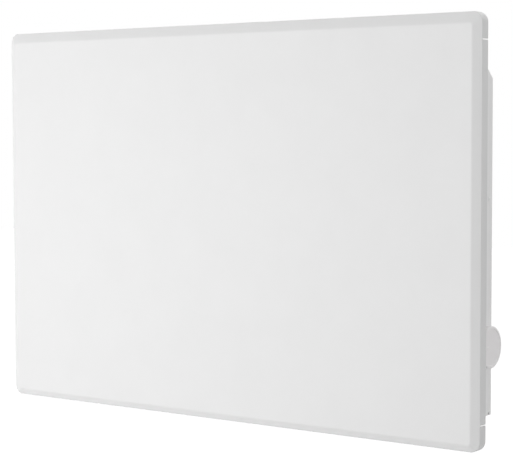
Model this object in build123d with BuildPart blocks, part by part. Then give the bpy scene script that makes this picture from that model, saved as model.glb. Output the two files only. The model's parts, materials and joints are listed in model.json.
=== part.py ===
"""Wall panel convector heater, in millimetres.

X runs to the right as seen from the room, Y runs from the room to the wall, Z is up.
The wall is the plane Y = 0. The origin is the centre of the four wall screws.
A "depth" below is a distance behind the front face of the cover.
"""

import os
from math import cos, hypot, radians, sin, tan

from build123d import *

os.makedirs("parts", exist_ok=True)

# ---------------------------------------------------------------- driving dimensions

# front cover
panel_width = 540.0
panel_height = 370.0
cover_depth = 14.0
cover_sheet = 1.2
bevel_inset = 7.7
bevel_inset_top = 9.5
bevel_inset_bottom = 6.3
bevel_depth = 3.5
cover_corner_radius = 9.0
face_corner_radius = 2.5
face_bend_radius = 5.0
relief_slit_width = 0.8
relief_slit_from_end = 23.0

# rear housing, set in from the cover's edges
housing_side_inset = 24.5
housing_bottom_inset = 21.0
housing_top_inset = 7.2
housing_behind_cover = 2.0
housing_rear_depth = 70.0
top_slope_angle = 40.6
housing_sheet = 1.0
front_flange_width = 22.0
front_lip_height = 14.0
air_slot_length = 42.0
air_slot_width = 3.6
air_slot_pitch = 56.0
air_slot_columns = 8
air_slot_row_pitch = 9.0
air_slot_rows = 3
inlet_rows_from_front = 18.0
corner_hole_radius = 1.1
corner_hole_from_rear = 4.2
corner_hole_from_bottom = 1.6

# cover rails and the screws that hold them
rail_from_housing_side = 13.5
rail_web_width = 20.0
rail_foot_width = 10.0
rail_sheet = 1.0
rail_end_inset = 35.0
cover_screw_end_inset = 20.0
screw_radius = 2.0
screw_head_radius = 3.8
screw_head_height = 2.4
screw_tail = 4.0
screw_hole_clearance = 0.15

# heat shield
shield_sheet = 0.6
shield_bottom_inset = 12.0
shield_top_inset = 17.8
shield_lip = 11.0
shield_side_gap = 0.6

# heating element
element_from_rear = 25.0
element_from_bottom = 52.0
element_left_space = 44.5
element_right_space = 114.5
element_core_radius = 8.0
rod_radius = 4.2
rod_bore_clearance = 0.1
fin_reach = 20.0
fin_thickness = 1.8
fin_angles = (28, 62, 118, 152, 208, 242, 298, 332)
rod_overhang = 22.0
insulator_radius = 3.4
insulator_length = 5.0
pin_radius = 1.5
pin_length = 9.0

# element brackets and bushes
bracket_sheet = 1.2
bracket_from_body = 9.0
bracket_height = 46.0
bracket_foot = 14.0
bracket_nose = 12.0
bush_wall = 2.2
bush_flange = 1.6
bush_flange_height = 1.6
bush_hole_clearance = 0.15

# thermal cut-out
cutout_from_element_end = 50.0
cutout_above_element = 38.0
cutout_arm = 32.0
cutout_width = 22.0
cutout_radius = 8.5
cutout_height = 8.0
cutout_from_wall = 18.0
cutout_tab_height = 6.0
cutout_tab_pitch = 9.0
cutout_foot_height = 14.0

# rivets of the inner brackets
rivet_radius = 1.6
rivet_head_radius = 3.2
rivet_head_height = 0.9
rivet_inset = 8.0

# angles that join the housing's side walls to its rear wall, and their rivets
corner_angle_leg = 11.0
corner_angle_height = 40.0
side_rivet_from_rear = 6.1
side_rivet_from_bottom = 190.5
side_rivet_radius = 1.2
side_rivet_head_radius = 1.9
side_rivet_head_height = 0.6

# control shield
control_space_width = 66.5
control_shield_sheet = 0.8
control_shield_above_block = 9.0
control_shield_foot = 12.0
control_shield_front_gap = 2.0
lead_notch_depth = 16.0
lead_notch_height = 26.0
capillary_hole_radius = 6.0

# thermostat
thermostat_from_rear = 25.0
thermostat_from_bottom = 63.5
thermostat_length = 36.0
thermostat_width = 34.0
thermostat_height = 40.0
thermostat_corner_radius = 3.0
neck_radius = 5.0
neck_length = 5.5
neck_hole_clearance = 0.2
nut_across_flats = 14.0
nut_height = 2.6
thread_clearance = 0.05
shaft_radius = 3.0
shaft_running_clearance = 0.06
shaft_bearing_depth = 14.0
shaft_flat = 0.8
post_radius = 2.0
post_length = 5.0
post_offset_depth = 8.0
post_offset_z = 9.0

# thermostat knob
knob_radius = 18.5
knob_protrusion = 13.7
knob_wall_gap = 0.8
knob_edge_radius = 1.5
knob_top_thickness = 2.2
knob_rim_thickness = 2.5
knob_hub_radius = 6.5
knob_hub_clearance = 0.6
knob_bore_clearance = 0.05
knob_flute_radius = 0.9
knob_flutes = 30

# sensing bulb, capillary and clips
bulb_radius = 3.0
bulb_length = 58.0
bulb_from_control_shield = 24.0
bulb_from_rear = 15.0
bulb_from_bottom = 14.0
bulb_edge_radius = 0.8
clip_sheet = 1.0
clip_width = 6.0
clip_gap = 0.1
clip_inset = 12.0
clip_foot = 14.0
capillary_radius = 0.8
capillary_bend = 8.0
capillary_from_thermostat = 14.5

# terminal block
block_width = 34.0
block_thickness = 15.0
block_height = 18.0
block_from_side = 36.5
block_above_thermostat = 47.4
block_pole_pitch = 10.0
block_screw_radius = 2.2
block_screw_proud = 0.6
block_screw_seat = 5.0
block_corner_radius = 1.5

# earth screw
earth_from_side = 22.5
earth_above_block = 28.0
earth_screw_tail = 2.0

# cable gland
gland_from_side = 27.5
gland_from_rear = 16.0
gland_bore_radius = 4.0
gland_thread_radius = 8.0
gland_flange_radius = 11.0
gland_flange_height = 3.0
gland_neck_radius = 8.5
gland_neck_height = 7.0
gland_thread_above = 7.0
gland_nut_across_flats = 21.0
gland_nut_height = 3.5
gland_hole_clearance = 0.2

# internal leads
lead_radius = 1.3
lead_bend = 8.0
short_lead_bend = 3.5
lead_gap = 0.15
lead_rise = 13.0
neutral_above_block = 34.0
lead_clip_pitch = 130.0
lead_clips_middle_x = -20.0

# wall bracket, which fills the gap between the housing and the wall
wall_gap = 14.0
wall_screw_pitch_x = 300.0
wall_screw_pitch_z = 220.0
wall_screw_hole_radius = 2.75
bracket_rail_width = 24.0
bracket_steel = 1.5
bracket_rail_bottom_z = -135.0
bracket_rail_top_z = 125.0
running_clearance = 0.3
lift_travel = 12.0
hook_neck = 3.0
hook_tab = 10.0
hook_thickness = 3.0
upper_hook_z = 85.0
lower_hook_z = -75.0
hook_slot_side_clearance = 0.9
crossbar_height = 22.0
upper_crossbar_z = 85.0
lower_crossbar_z = -95.0
crossbar_tab = 11.0
frame_rivet_radius = 2.0
frame_rivet_head_radius = 3.6
frame_rivet_head_height = 1.0
frame_rivet_from_wall = 6.5


# ---------------------------------------------------------------- places worked out from them

overall_depth = housing_rear_depth + wall_gap


def depth_y(depth):
    """The Y of a place that lies this far behind the front face."""
    return depth - overall_depth


def facing_room(depth):
    """A sketch plane across the heater: local X is X, local Y is Z, growth is to the room."""
    return Plane.XZ.offset(-depth_y(depth))


def across(x):
    """A sketch plane square to X: local X is Y, local Y is Z, growth is to the right."""
    return Plane.YZ.offset(x)


def both_sides(x, z_values):
    """Points left and right of the middle at each height."""
    return [(side * x, z) for side in (-1, 1) for z in z_values]


slope = tan(radians(top_slope_angle))
housing_front_depth = cover_depth + housing_behind_cover
housing_front_top_z = panel_height / 2 - housing_top_inset


def slope_z(depth):
    """Height of the housing's sloping top at a depth."""
    return housing_front_top_z - (depth - housing_front_depth) * slope


housing_rear_top_z = slope_z(housing_rear_depth)
housing_width = panel_width - 2 * housing_side_inset
housing_half = housing_width / 2
housing_inner_half = housing_half - housing_sheet
housing_bottom_z = housing_bottom_inset - panel_height / 2
housing_floor_z = housing_bottom_z + housing_sheet
rear_wall_inner_depth = housing_rear_depth - housing_sheet
shield_front_depth = housing_front_depth + housing_sheet
shield_back_depth = shield_front_depth + shield_sheet
inlet_rows_depth = housing_front_depth + inlet_rows_from_front
screw_hole_radius = screw_radius + screw_hole_clearance
rivet_hole_radius = rivet_radius + screw_hole_clearance
side_rivet_hole_radius = side_rivet_radius + screw_hole_clearance
rail_x = housing_half - rail_from_housing_side
rail_length = panel_height - 2 * rail_end_inset
cover_screw_pitch = rail_length / 2 - cover_screw_end_inset
cover_screw_heights = (-cover_screw_pitch, 0.0, cover_screw_pitch)
cover_screw_points = both_sides(rail_x, cover_screw_heights)

element_depth = housing_rear_depth - element_from_rear
element_z = housing_bottom_z + element_from_bottom
element_left_x = element_left_space - housing_inner_half
element_right_x = housing_inner_half - element_right_space
cutout_x = element_right_x - cutout_from_element_end
cutout_z = element_z + cutout_above_element
thermostat_depth = housing_rear_depth - thermostat_from_rear
thermostat_z = housing_bottom_z + thermostat_from_bottom
block_x = housing_inner_half - block_from_side
block_z = thermostat_z + block_above_thermostat
earth_x = housing_inner_half - earth_from_side
earth_z = block_z + earth_above_block
neutral_z = block_z + neutral_above_block
control_shield_x = housing_inner_half - control_space_width
control_shield_top_z = block_z + block_height / 2 + control_shield_above_block
bulb_left_x = control_shield_x - bulb_from_control_shield - bulb_length
bulb_depth = housing_rear_depth - bulb_from_rear
bulb_z = housing_bottom_z + bulb_from_bottom
gland_x = housing_half - gland_from_side
gland_depth = housing_rear_depth - gland_from_rear
side_rivet_depth = housing_rear_depth - side_rivet_from_rear
side_rivet_z = housing_bottom_z + side_rivet_from_bottom
shield_bottom_z = housing_bottom_z + shield_bottom_inset
shield_top_z = housing_front_top_z - shield_top_inset

bracket_left_x = element_left_x - bracket_from_body
bracket_right_x = element_right_x + bracket_from_body
foot_middle = bracket_sheet / 2 + bracket_foot / 2
left_foot_points = [(bracket_left_x + foot_middle, element_z + side * (bracket_height / 2 - rivet_inset))
                    for side in (-1, 1)]
right_foot_points = [(bracket_right_x - foot_middle, element_z + side * (bracket_height / 2 - rivet_inset))
                     for side in (-1, 1)]
cutout_foot_points = [(cutout_x, cutout_z + cutout_foot_height / 2)]
control_foot_x = control_shield_x + control_shield_sheet + control_shield_foot / 2
control_shield_height = control_shield_top_z - housing_floor_z
control_foot_points = [(control_foot_x, control_shield_top_z - rivet_inset),
                       (control_foot_x, thermostat_z)]
inner_rivet_points = (left_foot_points + right_foot_points + cutout_foot_points
                      + control_foot_points)

angle_rivet_x = housing_half - (housing_rear_depth - side_rivet_depth)
hook_x = wall_screw_pitch_x / 2 + bracket_rail_width / 2 - bracket_steel / 2
hook_z_values = (lower_hook_z, upper_hook_z)
hook_slot_height = hook_neck + lift_travel + 2 * running_clearance
hook_slot_width = bracket_steel + 2 * hook_slot_side_clearance
hook_slot_middle = (hook_neck - lift_travel) / 2

# ---------------------------------------------------------------- front cover



def inner_inset(inset):
    """How far from the cover's edge the flat face ends on the inside, behind a bevel of this width."""
    return inset + cover_sheet * (hypot(inset, bevel_depth) - inset) / bevel_depth


bevel_length = hypot(bevel_inset, bevel_depth)
inner_bevel_depth = bevel_depth + cover_sheet * (bevel_length - bevel_depth) / bevel_inset
inner_width = panel_width - 2 * cover_sheet
inner_height = panel_height - 2 * cover_sheet
face_width = panel_width - 2 * bevel_inset
face_height = panel_height - bevel_inset_top - bevel_inset_bottom
face_middle_z = (bevel_inset_bottom - bevel_inset_top) / 2
inner_face_width = panel_width - 2 * inner_inset(bevel_inset)
inner_face_height = panel_height - inner_inset(bevel_inset_top) - inner_inset(bevel_inset_bottom)
inner_face_middle_z = (inner_inset(bevel_inset_bottom) - inner_inset(bevel_inset_top)) / 2

with BuildPart() as front_cover:
    with BuildSketch(facing_room(bevel_depth)):
        RectangleRounded(panel_width, panel_height, cover_corner_radius)
    with BuildSketch(facing_room(0)):
        with Locations((0, face_middle_z)):
            RectangleRounded(face_width, face_height, face_corner_radius)
    loft(ruled=True)
    with BuildSketch(facing_room(cover_depth)):
        RectangleRounded(panel_width, panel_height, cover_corner_radius)
    extrude(amount=cover_depth - bevel_depth)
    fillet(front_cover.faces().sort_by(Axis.Y)[0].edges(), face_bend_radius)
    with BuildSketch(facing_room(inner_bevel_depth)):
        RectangleRounded(inner_width, inner_height, cover_corner_radius - cover_sheet)
    with BuildSketch(facing_room(cover_sheet)):
        with Locations((0, inner_face_middle_z)):
            RectangleRounded(inner_face_width, inner_face_height, face_corner_radius)
    loft(ruled=True, mode=Mode.SUBTRACT)
    with BuildSketch(facing_room(cover_depth)):
        RectangleRounded(inner_width, inner_height, cover_corner_radius - cover_sheet)
    extrude(amount=cover_depth - inner_bevel_depth, mode=Mode.SUBTRACT)
    with BuildSketch(facing_room(cover_depth)):
        with Locations(*both_sides(panel_width / 2, (panel_height / 2 - relief_slit_from_end,
                                                     relief_slit_from_end - panel_height / 2))):
            Rectangle(3 * cover_sheet, relief_slit_width)
    extrude(amount=cover_depth - inner_bevel_depth, mode=Mode.SUBTRACT)
front_cover.part.label = "front_cover"
export_step(front_cover.part, "parts/front_cover.step")

# ---------------------------------------------------------------- cover rails


def cover_rail(x):
    """Hat section that stands on the cover's inner face and carries it on the housing."""
    rail_depth = housing_front_depth - cover_sheet
    rail_middle_y = depth_y(cover_sheet + rail_depth / 2)
    with BuildPart() as rail:
        with BuildSketch(Plane.XY.offset(-rail_length / 2)):
            with Locations((x, rail_middle_y)):
                Rectangle(rail_web_width, rail_depth)
            with Locations((x, rail_middle_y - rail_sheet)):
                Rectangle(rail_web_width - 2 * rail_sheet, rail_depth, mode=Mode.SUBTRACT)
            for side in (-1, 1):
                foot_x = x + side * (rail_web_width + rail_foot_width) / 2
                with Locations((foot_x, depth_y(cover_sheet + rail_sheet / 2))):
                    Rectangle(rail_foot_width, rail_sheet)
        extrude(amount=rail_length)
        with BuildSketch(facing_room(housing_front_depth)):
            with Locations(*[(x, z) for z in cover_screw_heights]):
                Circle(screw_hole_radius)
        extrude(amount=rail_sheet, mode=Mode.SUBTRACT)
    return rail.part


with BuildPart() as cover_rail_left:
    add(cover_rail(-rail_x))
cover_rail_left.part.label = "cover_rail_left"
export_step(cover_rail_left.part, "parts/cover_rail_left.step")

with BuildPart() as cover_rail_right:
    add(cover_rail(rail_x))
cover_rail_right.part.label = "cover_rail_right"
export_step(cover_rail_right.part, "parts/cover_rail_right.step")

# screws from inside: head behind the heat shield, tail in front of the rail's web
cover_screw_length = shield_sheet + housing_sheet + rail_sheet + screw_tail

with BuildPart() as cover_screws:
    with BuildSketch(facing_room(shield_back_depth + screw_head_height)):
        with Locations(*cover_screw_points):
            Circle(screw_head_radius)
    extrude(amount=screw_head_height)
    with BuildSketch(facing_room(shield_back_depth)):
        with Locations(*cover_screw_points):
            Circle(screw_radius)
    extrude(amount=cover_screw_length)
cover_screws.part.label = "cover_screws"
export_step(cover_screws.part, "parts/cover_screws.step")

# ---------------------------------------------------------------- rear housing

slope_sheet_drop = housing_sheet / cos(radians(top_slope_angle))
slope_middle_depth = (housing_front_depth + housing_rear_depth) / 2
slope_plane = Plane(
    origin=(0, depth_y(slope_middle_depth), slope_z(slope_middle_depth)),
    x_dir=(1, 0, 0),
    z_dir=(0, sin(radians(top_slope_angle)), cos(radians(top_slope_angle))),
)
gland_hole_radius = gland_thread_radius + gland_hole_clearance

window_bottom_z = housing_floor_z + front_lip_height
window_top_z = housing_front_top_z - front_lip_height
window_height = window_top_z - window_bottom_z
window_middle_z = (window_bottom_z + window_top_z) / 2
side_rivet_at = (depth_y(side_rivet_depth), side_rivet_z)
corner_hole_at = (depth_y(housing_rear_depth - corner_hole_from_rear),
                  housing_bottom_z + corner_hole_from_bottom)
slope_inner_rear = (depth_y(rear_wall_inner_depth), slope_z(rear_wall_inner_depth) - slope_sheet_drop)
slope_inner_front = (depth_y(shield_front_depth), slope_z(shield_front_depth) - slope_sheet_drop)

# flat frame round the window, which closes the housing's front edges and carries the cover
with BuildPart() as housing_front_frame:
    with BuildSketch(across(-housing_half)):
        with BuildLine():
            Polyline(
                (depth_y(housing_front_depth), housing_bottom_z),
                (depth_y(shield_front_depth), housing_bottom_z),
                (depth_y(shield_front_depth), slope_z(shield_front_depth)),
                (depth_y(housing_front_depth), housing_front_top_z),
                close=True,
            )
        make_face()
    extrude(amount=housing_width)
    with BuildSketch(facing_room(shield_front_depth)):
        with Locations((0, window_middle_z)):
            Rectangle(housing_width - 2 * front_flange_width, window_height)
        with Locations(*cover_screw_points):
            Circle(screw_hole_radius)
    extrude(amount=housing_sheet, mode=Mode.SUBTRACT)
housing_front_frame.part.label = "housing_front_frame"
export_step(housing_front_frame.part, "parts/housing_front_frame.step")

# base plate with the inlet slots and the gland hole
with BuildPart() as housing_base:
    with BuildSketch(Plane.XY.offset(housing_bottom_z)):
        with Locations((0, depth_y((shield_front_depth + housing_rear_depth) / 2))):
            Rectangle(housing_width, housing_rear_depth - shield_front_depth)
        with Locations((-air_slot_pitch, depth_y(inlet_rows_depth))):
            with GridLocations(air_slot_pitch, air_slot_row_pitch, air_slot_columns - 2, air_slot_rows):
                SlotOverall(air_slot_length, air_slot_width, mode=Mode.SUBTRACT)
        with Locations((gland_x, depth_y(gland_depth))):
            Circle(gland_hole_radius, mode=Mode.SUBTRACT)
    extrude(amount=housing_sheet)
    for side in (-1, 1):
        with BuildSketch(across(side * housing_half)):
            with Locations(corner_hole_at):
                Circle(corner_hole_radius)
        extrude(amount=-side * housing_sheet, mode=Mode.SUBTRACT)
housing_base.part.label = "housing_base"
export_step(housing_base.part, "parts/housing_base.step")

# rear wall and sloping top, folded from one sheet
with BuildPart() as rear_housing:
    with BuildSketch(across(-housing_half)):
        with BuildLine():
            Polyline(
                (depth_y(rear_wall_inner_depth), housing_floor_z),
                (depth_y(housing_rear_depth), housing_floor_z),
                (depth_y(housing_rear_depth), housing_rear_top_z),
                (depth_y(shield_front_depth), slope_z(shield_front_depth)),
                slope_inner_front,
                slope_inner_rear,
                close=True,
            )
        make_face()
    extrude(amount=housing_width)
    with BuildSketch(slope_plane):
        with GridLocations(air_slot_pitch, air_slot_row_pitch, air_slot_columns, air_slot_rows):
            SlotOverall(air_slot_length, air_slot_width)
    extrude(amount=housing_sheet, both=True, mode=Mode.SUBTRACT)
    with BuildSketch(facing_room(housing_rear_depth)):
        with Locations(*both_sides(hook_x, [z + hook_slot_middle for z in hook_z_values])):
            Rectangle(hook_slot_width, hook_slot_height)
        with Locations(*inner_rivet_points):
            Circle(rivet_hole_radius)
        with Locations((earth_x, earth_z)):
            Circle(screw_hole_radius)
        with Locations(*both_sides(angle_rivet_x, (side_rivet_z,))):
            Circle(side_rivet_hole_radius)
    extrude(amount=housing_sheet, mode=Mode.SUBTRACT)
rear_housing.part.label = "rear_housing"
export_step(rear_housing.part, "parts/rear_housing.step")


def housing_side(side):
    """Side wall, set between the base, the rear wall and the sloping top."""
    with BuildPart() as wall:
        with BuildSketch(across(side * housing_half)):
            with BuildLine():
                Polyline(
                    (depth_y(shield_front_depth), housing_floor_z),
                    (depth_y(rear_wall_inner_depth), housing_floor_z),
                    slope_inner_rear,
                    slope_inner_front,
                    close=True,
                )
            make_face()
        extrude(amount=-side * housing_sheet)
        with BuildSketch(across(side * housing_half)):
            with Locations(side_rivet_at):
                Circle(side_rivet_hole_radius)
            with Locations(corner_hole_at):
                Circle(corner_hole_radius)
        extrude(amount=-side * housing_sheet, mode=Mode.SUBTRACT)
    return wall.part


with BuildPart() as housing_side_left:
    add(housing_side(-1))
housing_side_left.part.label = "housing_side_left"
export_step(housing_side_left.part, "parts/housing_side_left.step")

with BuildPart() as housing_side_right:
    add(housing_side(1))
    with BuildSketch(across(housing_inner_half)):
        with Locations((depth_y(thermostat_depth), thermostat_z)):
            Circle(neck_radius + neck_hole_clearance)
    extrude(amount=housing_sheet, mode=Mode.SUBTRACT)
housing_side_right.part.label = "housing_side_right"
export_step(housing_side_right.part, "parts/housing_side_right.step")

# ---------------------------------------------------------------- corner angles of the housing

rear_rivet_points = both_sides(angle_rivet_x, (side_rivet_z,))

with BuildPart() as corner_angles:
    for side in (-1, 1):
        with BuildSketch(Plane.XY.offset(side_rivet_z - corner_angle_height / 2)):
            with Locations((side * (housing_inner_half - housing_sheet / 2),
                            depth_y(rear_wall_inner_depth - corner_angle_leg / 2))):
                Rectangle(housing_sheet, corner_angle_leg)
            with Locations((side * (housing_inner_half - corner_angle_leg / 2),
                            depth_y(rear_wall_inner_depth - housing_sheet / 2))):
                Rectangle(corner_angle_leg, housing_sheet)
        extrude(amount=corner_angle_height)
        with BuildSketch(across(side * housing_half)):
            with Locations(side_rivet_at):
                Circle(side_rivet_hole_radius)
        extrude(amount=-side * 2 * housing_sheet, mode=Mode.SUBTRACT)
    with BuildSketch(facing_room(housing_rear_depth)):
        with Locations(*rear_rivet_points):
            Circle(side_rivet_hole_radius)
    extrude(amount=2 * housing_sheet, mode=Mode.SUBTRACT)
corner_angles.part.label = "corner_angles"
export_step(corner_angles.part, "parts/corner_angles.step")

side_rivet_length = 2 * housing_sheet + side_rivet_head_height

with BuildPart() as corner_rivets:
    for side in (-1, 1):
        with BuildSketch(across(side * (housing_half + side_rivet_head_height))):
            with Locations(side_rivet_at):
                Circle(side_rivet_head_radius)
        extrude(amount=-side * side_rivet_head_height)
        with BuildSketch(across(side * housing_half)):
            with Locations(side_rivet_at):
                Circle(side_rivet_radius)
        extrude(amount=-side * side_rivet_length)
    with BuildSketch(facing_room(housing_rear_depth + side_rivet_head_height)):
        with Locations(*rear_rivet_points):
            Circle(side_rivet_head_radius)
    extrude(amount=side_rivet_head_height)
    with BuildSketch(facing_room(housing_rear_depth)):
        with Locations(*rear_rivet_points):
            Circle(side_rivet_radius)
    extrude(amount=side_rivet_length)
corner_rivets.part.label = "corner_rivets"
export_step(corner_rivets.part, "parts/corner_rivets.step")

# ---------------------------------------------------------------- heat shield

shield_half = housing_inner_half - shield_side_gap
shield_lip_depth = shield_front_depth + shield_lip

with BuildPart() as heat_shield:
    with BuildSketch(across(-shield_half)):
        with BuildLine():
            Polyline(
                (depth_y(shield_front_depth), shield_bottom_z),
                (depth_y(shield_lip_depth), shield_bottom_z),
                (depth_y(shield_lip_depth), shield_bottom_z + shield_sheet),
                (depth_y(shield_back_depth), shield_bottom_z + shield_sheet),
                (depth_y(shield_back_depth), shield_top_z - shield_sheet),
                (depth_y(shield_lip_depth), shield_top_z - shield_sheet),
                (depth_y(shield_lip_depth), shield_top_z),
                (depth_y(shield_front_depth), shield_top_z),
                close=True,
            )
        make_face()
    extrude(amount=2 * shield_half)
    with BuildSketch(facing_room(shield_back_depth)):
        with Locations(*cover_screw_points):
            Circle(screw_hole_radius)
    extrude(amount=shield_sheet, mode=Mode.SUBTRACT)
heat_shield.part.label = "heat_shield"
export_step(heat_shield.part, "parts/heat_shield.step")

# ---------------------------------------------------------------- heating element

element_length = element_right_x - element_left_x
element_at = (depth_y(element_depth), element_z)

with BuildPart() as element_body:
    with BuildSketch(across(element_left_x)):
        with Locations(element_at):
            Circle(element_core_radius)
        for angle in fin_angles:
            fin_middle = (element_at[0] + fin_reach / 2 * cos(radians(angle)),
                          element_at[1] + fin_reach / 2 * sin(radians(angle)))
            with Locations(Location(fin_middle, angle)):
                Rectangle(fin_reach, fin_thickness)
        with Locations(element_at):
            Circle(rod_radius + rod_bore_clearance, mode=Mode.SUBTRACT)
    extrude(amount=element_length)
element_body.part.label = "element_body"
export_step(element_body.part, "parts/element_body.step")

rod_left_x = element_left_x - rod_overhang
rod_right_x = element_right_x + rod_overhang

with BuildPart() as element_rod:
    with BuildSketch(across(rod_left_x)):
        with Locations(element_at):
            Circle(rod_radius)
    extrude(amount=rod_right_x - rod_left_x)
element_rod.part.label = "element_rod"
export_step(element_rod.part, "parts/element_rod.step")

with BuildPart() as element_insulators:
    for end_x, side in ((rod_left_x, -1), (rod_right_x, 1)):
        with BuildSketch(across(end_x)):
            with Locations(element_at):
                Circle(insulator_radius)
        extrude(amount=side * insulator_length)
element_insulators.part.label = "element_insulators"
export_step(element_insulators.part, "parts/element_insulators.step")

pin_left_x = rod_left_x - insulator_length
pin_right_x = rod_right_x + insulator_length

with BuildPart() as element_pins:
    for end_x, side in ((pin_left_x, -1), (pin_right_x, 1)):
        with BuildSketch(across(end_x)):
            with Locations(element_at):
                Circle(pin_radius)
        extrude(amount=side * pin_length)
element_pins.part.label = "element_pins"
export_step(element_pins.part, "parts/element_pins.step")

# ---------------------------------------------------------------- element brackets and bushes

bush_bore_radius = rod_radius + rod_bore_clearance
bush_radius = bush_bore_radius + bush_wall


def element_bracket(x, toward_middle, foot_points):
    """Upright plate with a hole for the bush and a foot riveted to the rear wall."""
    plate_front_depth = element_depth - bracket_nose
    plate_depth = rear_wall_inner_depth - plate_front_depth
    with BuildPart() as bracket:
        with BuildSketch(across(x - bracket_sheet / 2)):
            with Locations((depth_y(plate_front_depth + plate_depth / 2), element_z)):
                Rectangle(plate_depth, bracket_height)
            with Locations(element_at):
                Circle(bush_radius + bush_hole_clearance, mode=Mode.SUBTRACT)
        extrude(amount=bracket_sheet)
        with BuildSketch(facing_room(rear_wall_inner_depth)):
            with Locations((x + toward_middle * foot_middle, element_z)):
                Rectangle(bracket_foot, bracket_height)
            with Locations(*foot_points):
                Circle(rivet_hole_radius, mode=Mode.SUBTRACT)
        extrude(amount=bracket_sheet)
    return bracket.part


with BuildPart() as element_bracket_left:
    add(element_bracket(bracket_left_x, 1, left_foot_points))
element_bracket_left.part.label = "element_bracket_left"
export_step(element_bracket_left.part, "parts/element_bracket_left.step")

with BuildPart() as element_bracket_right:
    add(element_bracket(bracket_right_x, -1, right_foot_points))
element_bracket_right.part.label = "element_bracket_right"
export_step(element_bracket_right.part, "parts/element_bracket_right.step")

with BuildPart() as element_bushes:
    for plate_x, side in ((bracket_left_x, -1), (bracket_right_x, 1)):
        with BuildSketch(across(plate_x - side * bracket_sheet / 2)):
            with Locations(element_at):
                Circle(bush_radius)
                Circle(bush_bore_radius, mode=Mode.SUBTRACT)
        extrude(amount=side * bracket_sheet)
        with BuildSketch(across(plate_x + side * bracket_sheet / 2)):
            with Locations(element_at):
                Circle(bush_radius + bush_flange)
                Circle(bush_bore_radius, mode=Mode.SUBTRACT)
        extrude(amount=side * bush_flange_height)
element_bushes.part.label = "element_bushes"
export_step(element_bushes.part, "parts/element_bushes.step")

# ---------------------------------------------------------------- thermal cut-out

with BuildPart() as cutout_bracket:
    with BuildSketch(across(cutout_x - cutout_width / 2)):
        with BuildLine():
            Polyline(
                (depth_y(rear_wall_inner_depth), cutout_z),
                (depth_y(rear_wall_inner_depth), cutout_z + cutout_foot_height),
                (depth_y(rear_wall_inner_depth - bracket_sheet), cutout_z + cutout_foot_height),
                (depth_y(rear_wall_inner_depth - bracket_sheet), cutout_z + bracket_sheet),
                (depth_y(rear_wall_inner_depth - cutout_arm), cutout_z + bracket_sheet),
                (depth_y(rear_wall_inner_depth - cutout_arm), cutout_z),
                close=True,
            )
        make_face()
    extrude(amount=cutout_width)
    with BuildSketch(facing_room(rear_wall_inner_depth)):
        with Locations(*cutout_foot_points):
            Circle(rivet_hole_radius)
    extrude(amount=bracket_sheet, mode=Mode.SUBTRACT)
cutout_bracket.part.label = "cutout_bracket"
export_step(cutout_bracket.part, "parts/cutout_bracket.step")

cutout_y = depth_y(rear_wall_inner_depth - cutout_from_wall)
cutout_case_top_z = cutout_z + bracket_sheet + cutout_height
cutout_tab_top_z = cutout_case_top_z + cutout_tab_height

with BuildPart() as thermal_cutout:
    with BuildSketch(Plane.XY.offset(cutout_z + bracket_sheet)):
        with Locations((cutout_x, cutout_y)):
            Circle(cutout_radius)
    extrude(amount=cutout_height)
    with BuildSketch(Plane.XY.offset(cutout_case_top_z)):
        with Locations((cutout_x - cutout_tab_pitch / 2, cutout_y),
                       (cutout_x + cutout_tab_pitch / 2, cutout_y)):
            Circle(post_radius)
    extrude(amount=cutout_tab_height)
thermal_cutout.part.label = "thermal_cutout"
export_step(thermal_cutout.part, "parts/thermal_cutout.step")

# ---------------------------------------------------------------- control shield

shield_plate_front = shield_lip_depth + control_shield_front_gap
shield_plate_depth = rear_wall_inner_depth - shield_plate_front
control_shield_middle_z = housing_floor_z + control_shield_height / 2
post_z = thermostat_z + post_offset_z

with BuildPart() as control_shield:
    with BuildSketch(across(control_shield_x)):
        with Locations((depth_y(shield_plate_front + shield_plate_depth / 2), control_shield_middle_z)):
            Rectangle(shield_plate_depth, control_shield_height)
        with Locations((depth_y(shield_plate_front + lead_notch_depth / 2), post_z)):
            Rectangle(lead_notch_depth, lead_notch_height, mode=Mode.SUBTRACT)
        with Locations((depth_y(bulb_depth), bulb_z)):
            Circle(capillary_hole_radius, mode=Mode.SUBTRACT)
    extrude(amount=control_shield_sheet)
    with BuildSketch(facing_room(rear_wall_inner_depth)):
        with Locations((control_foot_x, control_shield_middle_z)):
            Rectangle(control_shield_foot, control_shield_height)
        with Locations(*control_foot_points):
            Circle(rivet_hole_radius, mode=Mode.SUBTRACT)
    extrude(amount=control_shield_sheet)
control_shield.part.label = "control_shield"
export_step(control_shield.part, "parts/control_shield.step")

# rivets: one head inside on each foot, one head behind the rear wall

with BuildPart() as bracket_rivets:
    for foot_sheet, points in (
        (bracket_sheet, left_foot_points + right_foot_points + cutout_foot_points),
        (control_shield_sheet, control_foot_points),
    ):
        with BuildSketch(facing_room(rear_wall_inner_depth - foot_sheet)):
            with Locations(*points):
                Circle(rivet_head_radius)
        extrude(amount=rivet_head_height)
        with BuildSketch(facing_room(housing_rear_depth)):
            with Locations(*points):
                Circle(rivet_radius)
        extrude(amount=housing_sheet + foot_sheet)
        with BuildSketch(facing_room(housing_rear_depth + rivet_head_height)):
            with Locations(*points):
                Circle(rivet_head_radius)
        extrude(amount=rivet_head_height)
bracket_rivets.part.label = "bracket_rivets"
export_step(bracket_rivets.part, "parts/bracket_rivets.step")

# ---------------------------------------------------------------- thermostat

thermostat_at = (depth_y(thermostat_depth), thermostat_z)
thermostat_left_x = housing_inner_half - thermostat_length
shaft_bore_start_x = housing_inner_half - shaft_bearing_depth
neck_end_x = housing_inner_half + neck_length
live_post_y = depth_y(thermostat_depth + post_offset_depth)
switched_post_y = depth_y(thermostat_depth - post_offset_depth)

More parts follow.
